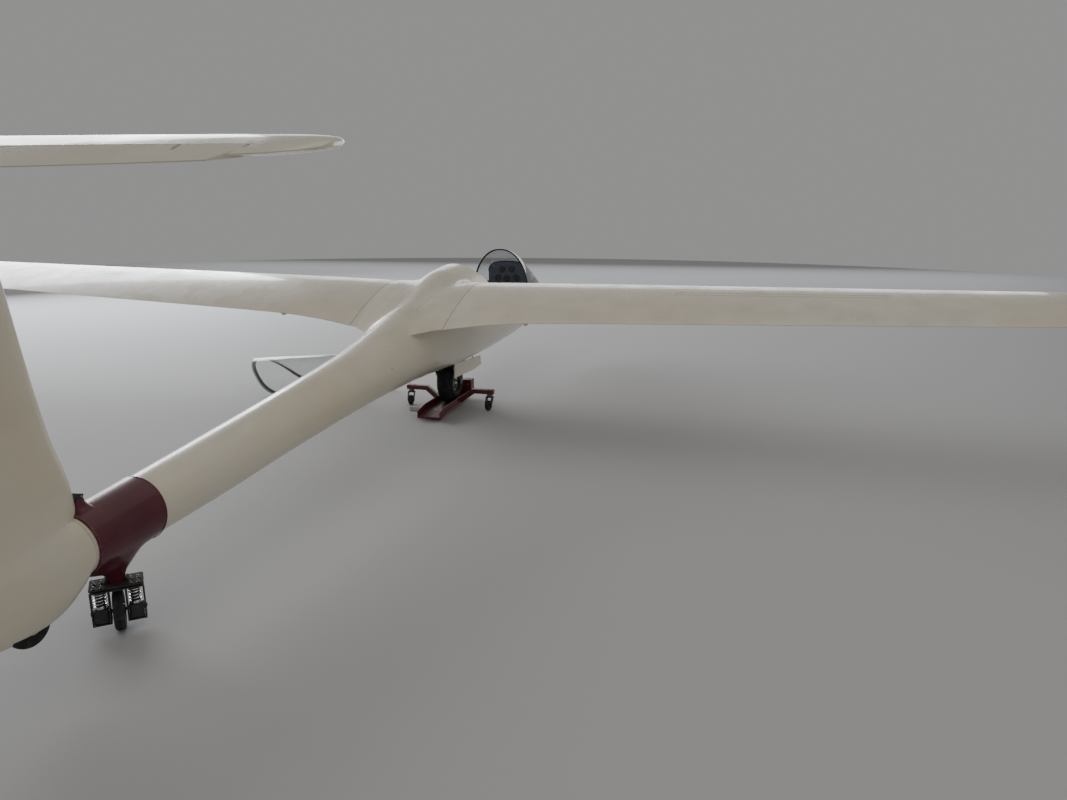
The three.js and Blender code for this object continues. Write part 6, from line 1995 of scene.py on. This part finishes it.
def cranked_arm(side):
    """Square tube seen from the front: out of the tray, up to the crank, level to the castor."""
    first, under, middle = half + GAP, ARM_TOP - ARM_DEPTH, y_of(WHEEL_STATION)
    low = [(first, 44), (first + 14, 44), (ARM_CRANK + 12, under), (CASTOR_X + 32, under)]
    high = [(first, 84), (first + 0.5, 84), (ARM_CRANK - 4, ARM_TOP), (CASTOR_X + 32, ARM_TOP)]
    rings = []
    for (xl, zl), (xh, zh) in zip(low, high):
        a, b = Vector((xl, zl)), Vector((xh, zh))
        up = (b - a).normalized() * 3.5
        w, e = ARM_HALF, 3.5
        loop = [(a, -w + e), (a, w - e), (a + up, w), (b - up, w), (b, w - e), (b, -w + e), (b - up, -w),
                (a + up, -w)]
        rings.append([(side * p.x, middle + d, p.y) for p, d in loop])
    form = skin(rings)
    joint, crank_low, crank_high = side * (first + 1), side * (ARM_CRANK + 11), side * (ARM_CRANK - 3)
    for offset in (-ARM_HALF, ARM_HALF):
        y, crank_y = middle + offset, middle + offset * 0.98
        form.add(weld_bead([(joint, y, 46), (joint, y, 82)], 2.6))
        form.add(weld_bead([(crank_low, crank_y, under + 2), (crank_high, crank_y, ARM_TOP - 2)], 1.8))
    form.add(weld_bead([(joint, middle - ARM_HALF, 83), (joint, middle + ARM_HALF, 83)], 2.6))
    for dx, dy in ((-18, -13), (18, -13), (-18, 13), (18, 13)):
        form.add(bolt((side * (CASTOR_X + dx), middle + dy, ARM_TOP - 0.2), UP, 5.5), 1)
    return form


for label, side in (("port", 1), ("starboard", -1)):
    piece(f"cranked_arm_{label}", cranked_arm(side), "airframe", [ENAMEL, ZINC],
          [f"dolly_arm_{label}"], angle=40)

TUBE = {"x": 190.0, "y": y_of(3190), "z": 52, "bead": 20.6}
tube = turned_form([(15.5, 0), (15.5, -94), (19.2, -98.7), (20, -98), (20, 0), (19.2, 0.7)],
                   (TUBE["x"], TUBE["y"], TUBE["z"]), ACROSS, 40, closed=True)
tube.add(weld_bead([(half + 1.5, TUBE["y"] + TUBE["bead"] * math.cos(t),
                     TUBE["z"] + TUBE["bead"] * math.sin(t))
                    for t in np.linspace(0, 2 * math.pi, 20)], 2.4))
tube.points = [(min(max(x, half + GAP), TUBE["x"]), y, z) for x, y, z in tube.points]
piece("side_tube", tube, "airframe", ZINC, ["dolly_side_tube"])

# %% [markdown]
# The small castors are bought parts: a pressed fork on a ball race, a rubber tyre on a plain hub and a bolt
# through both cheeks. The fork is a bent plate, so its cheeks are lofted with a rounded crown above them.

# %% Small castors
SMALL = {"top": 123.7, "radius": 37.5, "half": 16, "trail": 24, "gap": 6, "plate": 4, "pin": 5}


def castor_fork():
    top, radius, cheek, trail = SMALL["top"], SMALL["radius"], SMALL["half"] + SMALL["gap"], SMALL["trail"]
    crown = top - 24
    form = Form()
    form.add(turned_form([(0, 0), (18, 0), (21, 2), (22, 5), (22, 12), (20.5, 14), (20.5, 16), (0, 16)],
                         (0, 0, top - 16), UP, 40), 1)
    form.add(turned_form([(0, 0), (25, 0), (26, 1.5), (25, 3), (0, 3)], (0, 0, top - 19), UP, 40), 0)
    form.add(soft_block((-cheek - 4, -24, crown - 2), (cheek + 4, 24, top - 17), 4, 7), 0)
    for side in (1, -1):
        outline = [(-22, crown + 2), (22, crown + 2), (26, crown - 18), (trail + 13, radius + 13)]
        for t in np.linspace(0.2, math.pi + 0.3, 12):
            outline.append((trail + 13 * math.cos(-t), radius + 13 * math.sin(-t) * 0.95))
        outline.append((trail - 14, radius + 12))
        x0, x1 = sorted((side * cheek, side * (cheek + 4)))
        form.add(outline_solid(outline, "x", x0, x1), 0)
        form.add(bolt((side * (cheek + 4), trail, radius), (side, 0, 0), 6.2, 3, washer=False), 2)
    form.add(bar((-cheek - 5, trail, radius), (cheek + 5, trail, radius), SMALL["pin"], 20), 2)
    return form


def castor_roller():
    r, w = SMALL["radius"], SMALL["half"]
    tread = [(24, -w + 1), (r - 7, -w), (r - 3, -w + 1.2), (r - 0.6, -w + 4), (r, -w + 7), (r, w - 7),
             (r - 0.6, w - 4), (r - 3, w - 1.2), (r - 7, w), (24, w - 1)]
    hub = [(5.3, -21), (11, -21), (12, -20), (13, -14), (21, -12.5), (23.8, -14), (23.8, 14), (21, 12.5),
           (13, 14), (12, 20), (11, 21), (5.3, 21)]
    centre = (0, SMALL["trail"], r)
    form = Form().add(turned_form(tread, centre, ACROSS, 56, closed=True), 0)
    return form.add(turned_form(hub, centre, ACROSS, 40, closed=True), 1)


for label, side, angle in (("port", 1, 8), ("starboard", -1, -10)):
    place = Matrix.Translation((side * CASTOR_X, y_of(WHEEL_STATION), 0))
    place = place @ Matrix.Rotation(math.radians(angle), 4, "Z")
    piece(f"small_fork_{label}", castor_fork().moved(place), f"castor_{label}",
          [BLACK_STEEL, WORN_ZINC, WORN_ZINC], [f"castor_{label}_fork"])
    piece(f"small_roller_{label}", castor_roller().moved(place), f"castor_{label}_roller",
          [CASTOR_RUBBER, DARK_CASTING], [f"castor_{label}_wheel"])

# %% [markdown]
# ## Landing gear
# The main wheel half sinks into its bay and swings on two pairs of struts. Its tyre has circumferential
# grooves, its hub is split and bolted, and the doors are thin shells with a stiffened inner face.

# %% Main tyre and split hub
AXLE_HEIGHT = 40 + GAP + 175
axle = (0, y_of(WHEEL_STATION), AXLE_HEIGHT)


def main_tyre():
    """A ribbed aircraft tyre: grooves, rounded shoulders, a bead line and a ridge on the side."""
    share = np.linspace(0, 1, 26)
    crown, width = 175 - 30 * share ** 3.2 - 14 * share ** 9, 64 * 0.90 * share
    grooves, groove_sides = {7, 24}, {5.6, 8.4, 22.6, 25.4}
    arc = []
    for w in sorted({round(w, 2) for w in width} | grooves | groove_sides):
        arc.append((float(np.interp(w, width, crown)) - (4.0 if w in grooves else 0), w))
    arc += [(124, 62.5), (119, 63.6), (112, 64), (106, 63.4), (104.5, 64), (102.5, 64), (101, 62.8), (95, 59),
            (90, 55.5), (86, 55.3), (83, 52), (80, 45), (76.3, 40)]
    return turned_form([(r, -w) for r, w in arc[:0:-1]] + arc, axle, ACROSS, 120, closed=True)


def main_hub():
    half = [(73.5, 36), (76, 39), (76, 43), (70, 43), (68, 40), (66, 17), (60, 15), (34, 20), (31, 30),
            (29, 50), (26, 52), (10.3, 52)]
    form = turned_form([(r, -w) for r, w in half[::-1]] + half, axle, ACROSS, 96, closed=True)
    for k in range(8):
        angle = 2 * math.pi * (k + 0.5) / 8
        for face in (-1, 1):
            at = (face * 16.2, axle[1] + 49 * math.sin(angle), axle[2] + 49 * math.cos(angle))
            form.add(bolt(at, (face, 0, 0), 5.0), 1)
    disc_ring = [(36, 20), (58, 20), (59, 21), (59, 25), (58, 26), (36, 26)]
    form.add(turned_form(disc_ring, axle, ACROSS, 80, closed=True), 2)
    return form


piece("main_tyre_ribbed", main_tyre(), "main_wheel", TYRE_RUBBER, ["main_tyre"], angle=38)
piece("main_hub_split", main_hub(), "main_wheel", [ALUMINIUM, ZINC, SPRING_STEEL],
      ["main_wheel_hub"], angle=38)

# %% Struts of the gear
BAY_HALF = BAY["half"] - GAP
STRUT_ENDS, STRUT_TOP = (3300, 3640), 480
struts = Form()
struts.add(bar((-96, axle[1], axle[2]), (96, axle[1], axle[2]), 10, 28), 1)
for side in (1, -1):
    x = side * 84
    struts.add(bar((x - side * 10, axle[1], axle[2]), (x + side * 12, axle[1], axle[2]), 26, 36, 2), 0)
    struts.add(bolt((x + side * 12, axle[1], axle[2]), (side, 0, 0), 9.5, 5), 1)
    for end in STRUT_ENDS:
        a, b = Vector((x, axle[1], axle[2])), Vector((x, y_of(end), STRUT_TOP))
        struts.add(bar(a, b, 12, 28), 0)
        for share in (0.16, 0.86):
            sleeve = [(0, -9), (13.6, -9), (14.4, -8), (14.4, 8), (13.6, 9), (0, 9)]
            struts.add(turned_form(sleeve, a.lerp(b, share), b - a, 28), 0)
        struts.add(bar((x - 15, b.y, b.z), (x + 15, b.y, b.z), 19, 28, 2), 0)
for end in STRUT_ENDS:
    struts.add(bar((-BAY_HALF, y_of(end), STRUT_TOP), (BAY_HALF, y_of(end), STRUT_TOP), 15, 32), 0)
struts.add(bar((-84, y_of(3422), 350), (84, y_of(3422), 350), 7, 20), 0)
struts.add(soft_block((66, y_of(3600), 168), (70, y_of(3560), 262), 1.5, 6), 1)
piece("gear_struts", struts, "airframe", [BLACK_STEEL, ZINC], ["main_gear_legs"])

# %% Gear doors
DOOR = {"rear": 3290, "front": 3915, "hinge": 386, "drop": 115, "thick": 9, "splay": 14}


def gear_door(side):
    """A curved thin shell with rounded edges and two pressed ribs inside, hanging from the bay's edge."""
    rows = []
    stations = np.linspace(DOOR["rear"], DOOR["front"], 40)
    for s in stations:
        top = np.interp(s, (DOOR["rear"], DOOR["rear"] + 60, DOOR["front"]), (-99, 0, -34))
        low = np.interp(s, (DOOR["rear"], DOOR["front"] - 190, DOOR["front"] - 10, DOOR["front"]),
                        (-DOOR["drop"] + 16, -DOOR["drop"], -DOOR["drop"] + 10, -60))
        low = min(low, top - 3)
        half = DOOR["thick"] / 2
        ring = [(-half + 1.6, top), (half - 1.6, top), (half, top - 1.2), (half, low + 1.2),
                (half - 1.6, low), (-half + 1.6, low), (-half, low + 1.2), (-half, top - 1.2)]
        rows.append([(a, y_of(s), z) for a, z in ring])
    form = skin(rows)
    for low, high in ((-34, -26), (-84, -76)):
        inside = -side * DOOR["thick"] / 2
        form.add(soft_block((inside, y_of(3820), low), (inside - side * 2.2, y_of(3400), high), 1, 3), 1)
    hang = Matrix.Translation((side * (BAY["half"] + 4), 0, DOOR["hinge"])) @ \
        Matrix.Rotation(-side * math.radians(DOOR["splay"]), 4, "Y")
    return carved(form.moved(hang), [body_between(pod_stations[::2] + [AFT_END_OF_POD], -GAP, 80)])


for label, side in (("port", 1), ("starboard", -1)):
    piece(f"wheel_door_{label}", gear_door(side), "airframe", [GELCOAT, CABIN_PAINT],
          [f"gear_door_{label}"], angle=35)
    hinges = Form()
    for s in (3420, 3600, 3780):
        x, y = side * 103, y_of(s)
        hinges.add(bar((side * 101, y - 13, 380), (side * 101, y + 13, 380), 3.4, 16))
        hinges.add(soft_block((side * 92, y - 11, 378.5), (side * 105.6, y + 11, 381.5), 0.8, 2))
        hinges.add(soft_block((x - 1.6, y - 11, 352), (x + 1.6, y + 11, 381), 0.8, 2))
    piece(f"wheel_door_hinges_{label}", hinges, "airframe", ZINC)

# %% Tail wheel
def tail_wheel_form():
    r, half = TAIL_WHEEL["radius"], TAIL_WHEEL["half"]
    centre = (0, y_of(TAIL_WHEEL["station"]), TAIL_WHEEL["height"])
    arc = [(r - 0.3 - (r - 48) * (1 - math.cos(t)) * 0.36, half * math.sin(t))
           for t in np.linspace(-1.45, 1.45, 23)]
    tread = [(30, -14), (44, -half + 2)] + arc + [(44, half - 2), (30, 14)]
    end = half + 5.5
    hub = [(0, -end), (14, -end), (15, -half - 4), (16, -16), (29.5, -12.5), (29.5, 12.5), (16, 16),
           (15, half + 4), (14, end), (0, end)]
    form = Form().add(turned_form(tread, centre, ACROSS, 72, closed=True), 0)
    form.add(turned_form(hub, centre, ACROSS, 40), 1)
    washer = [(15, 0), (31, 0), (32, 0.8), (32, 3), (31, 4), (15, 4)]
    for x in (half + 0.6, -half - 4.6):
        form.add(turned_form(washer, (x, centre[1], centre[2]), ACROSS, 36, closed=True), 1)
    return form


piece("tail_wheel_tyre", tail_wheel_form(), "airframe", [TYRE_RUBBER, ALUMINIUM], ["tail_wheel"])

# %% [markdown]
# ## Small fittings
# What is left is small: seams of the mould, static ports, the tow hooks under the belly and low fairings
# over the aileron drives. Seams, ports and hooks are laid on the finished skin by dropping points onto it,
# and the fairings follow the wing's own section, so nothing floats.

# %% Dropping points onto the skin
skin_tree = BVHTree.FromPolygons([v.co for v in pod.vertices], [tuple(p.vertices) for p in pod.polygons])


def dropped(points, direction=(0, 0, -1), lift=0.0):
    """Each point moved along the direction to the fuselage skin, then lifted off it."""
    way, found = Vector(direction), []
    for point in points:
        start = Vector(point) / 1000 - way * 0.4
        hit, normal, _, _ = skin_tree.ray_cast(start, way)
        if hit:
            found.append(tuple(hit * 1000 + normal * lift))
    return found


# %% Seams of the mould and of the root fairing
seams = Form()
for side in (1, -1):
    line = [(side * np.interp(s, (2726, 2956), (86, 105)), y_of(s), 1200)
            for s in np.linspace(2726, 2956, 24)]
    seams.add(tube_along(dropped(line, lift=-0.1), 0.55, 6))
for s0, s1 in ((6080, 3960), (3190, 1975)):
    keel = [(0, y_of(s), 300) for s in np.linspace(s0, s1, 90)]
    seams.add(tube_along(dropped(keel, UP, -0.25), 0.5, 6))
piece("mould_seams", seams, "airframe", SEAM)

# %% Static ports
ports = Form()
for side in (1, -1):
    for s, z in ((5460, 700), (2120, 600)):
        for x, y, z_at in dropped([(side * 320, y_of(s), z)], (-side, 0, 0)):
            ports.add(turned_form([(3, -1), (9, -1), (9, 0.5), (7.5, 1.1), (3.4, 1.1), (3, 0.6)],
                                  (x, y, z_at), (side, 0, 0), 32, closed=True), 0)
            ports.add(disc(3.1, -1, 0.2, (x, y, z_at), (side, 0, 0), 24), 1)
piece("static_ports", ports, "airframe", [ALUMINIUM, SATIN_BLACK])

# %% Tow hooks under the belly
hooks = Form()
for s in (5560, 4010):
    (x, y, z), = dropped([(0, y_of(s), 200)], UP)
    hooks.add(soft_block((-17, y - 34, z - 3), (17, y + 34, z + 6), 1.4, 8), 0)
    for side in (1, -1):
        hooks.add(soft_block((side * 9 - 2, y - 22, z - 15), (side * 9 + 2, y + 14, z), 1, 3), 0)
    ring = [(0, y - 6 + 11 * math.cos(a), z - 9 + 11 * math.sin(a)) for a in np.linspace(-2.4, 1.5, 18)]
    hooks.add(tube_along(ring, 3.2, 12), 1)
    hooks.add(bar((-13, y - 8, z - 6), (13, y - 8, z - 6), 2.6, 14), 1)
    for sx in (-11, 11):
        for sy in (-27, 27):
            hooks.add(bolt((sx, y + sy, z - 2.6), (0, 0, -1), 3.4, 2.2), 1)
piece("tow_hooks", hooks, "airframe", [DARK_CASTING, ZINC])

# %% Fairings over the aileron drives
DRIVE_SPAN = 878
drives = Form()
for side in (1, -1):
    ring = wing_ring(side, DRIVE_SPAN)
    under = ring[len(ring) // 2:]
    tail_y = under[-1, 1]
    rings = []
    for t in np.linspace(0.01, 0.99, 26):
        y = tail_y - 130 + 134 * t
        z = float(np.interp(y, under[:, 1], under[:, 2]))
        size = (t / 0.7) ** 0.6 if t < 0.7 else math.cos(math.pi / 2 * (t - 0.7) / 0.3) ** 0.5
        rings.append([(side * DRIVE_SPAN + 16 * size * math.cos(a), y,
                       z + 1.5 - 21 * size * max(math.sin(a), -0.05))
                      for a in np.linspace(-0.3, math.pi + 0.3, 20)])
    drives.add(skin(rings))
piece("drive_fairings", drives, "airframe", GELCOAT_TAIL)

# %% [markdown]
# ## Finish
# The pieces are counted with their triangles, and the largest of them are printed. The visual model must
# stay inside the CAD model's box.

# %% Count of the pieces
print("pieces:", len(MADE), "triangles:", sum(count for _, count in MADE))
print("largest:", sorted(MADE, key=lambda row: -row[1])[:6])
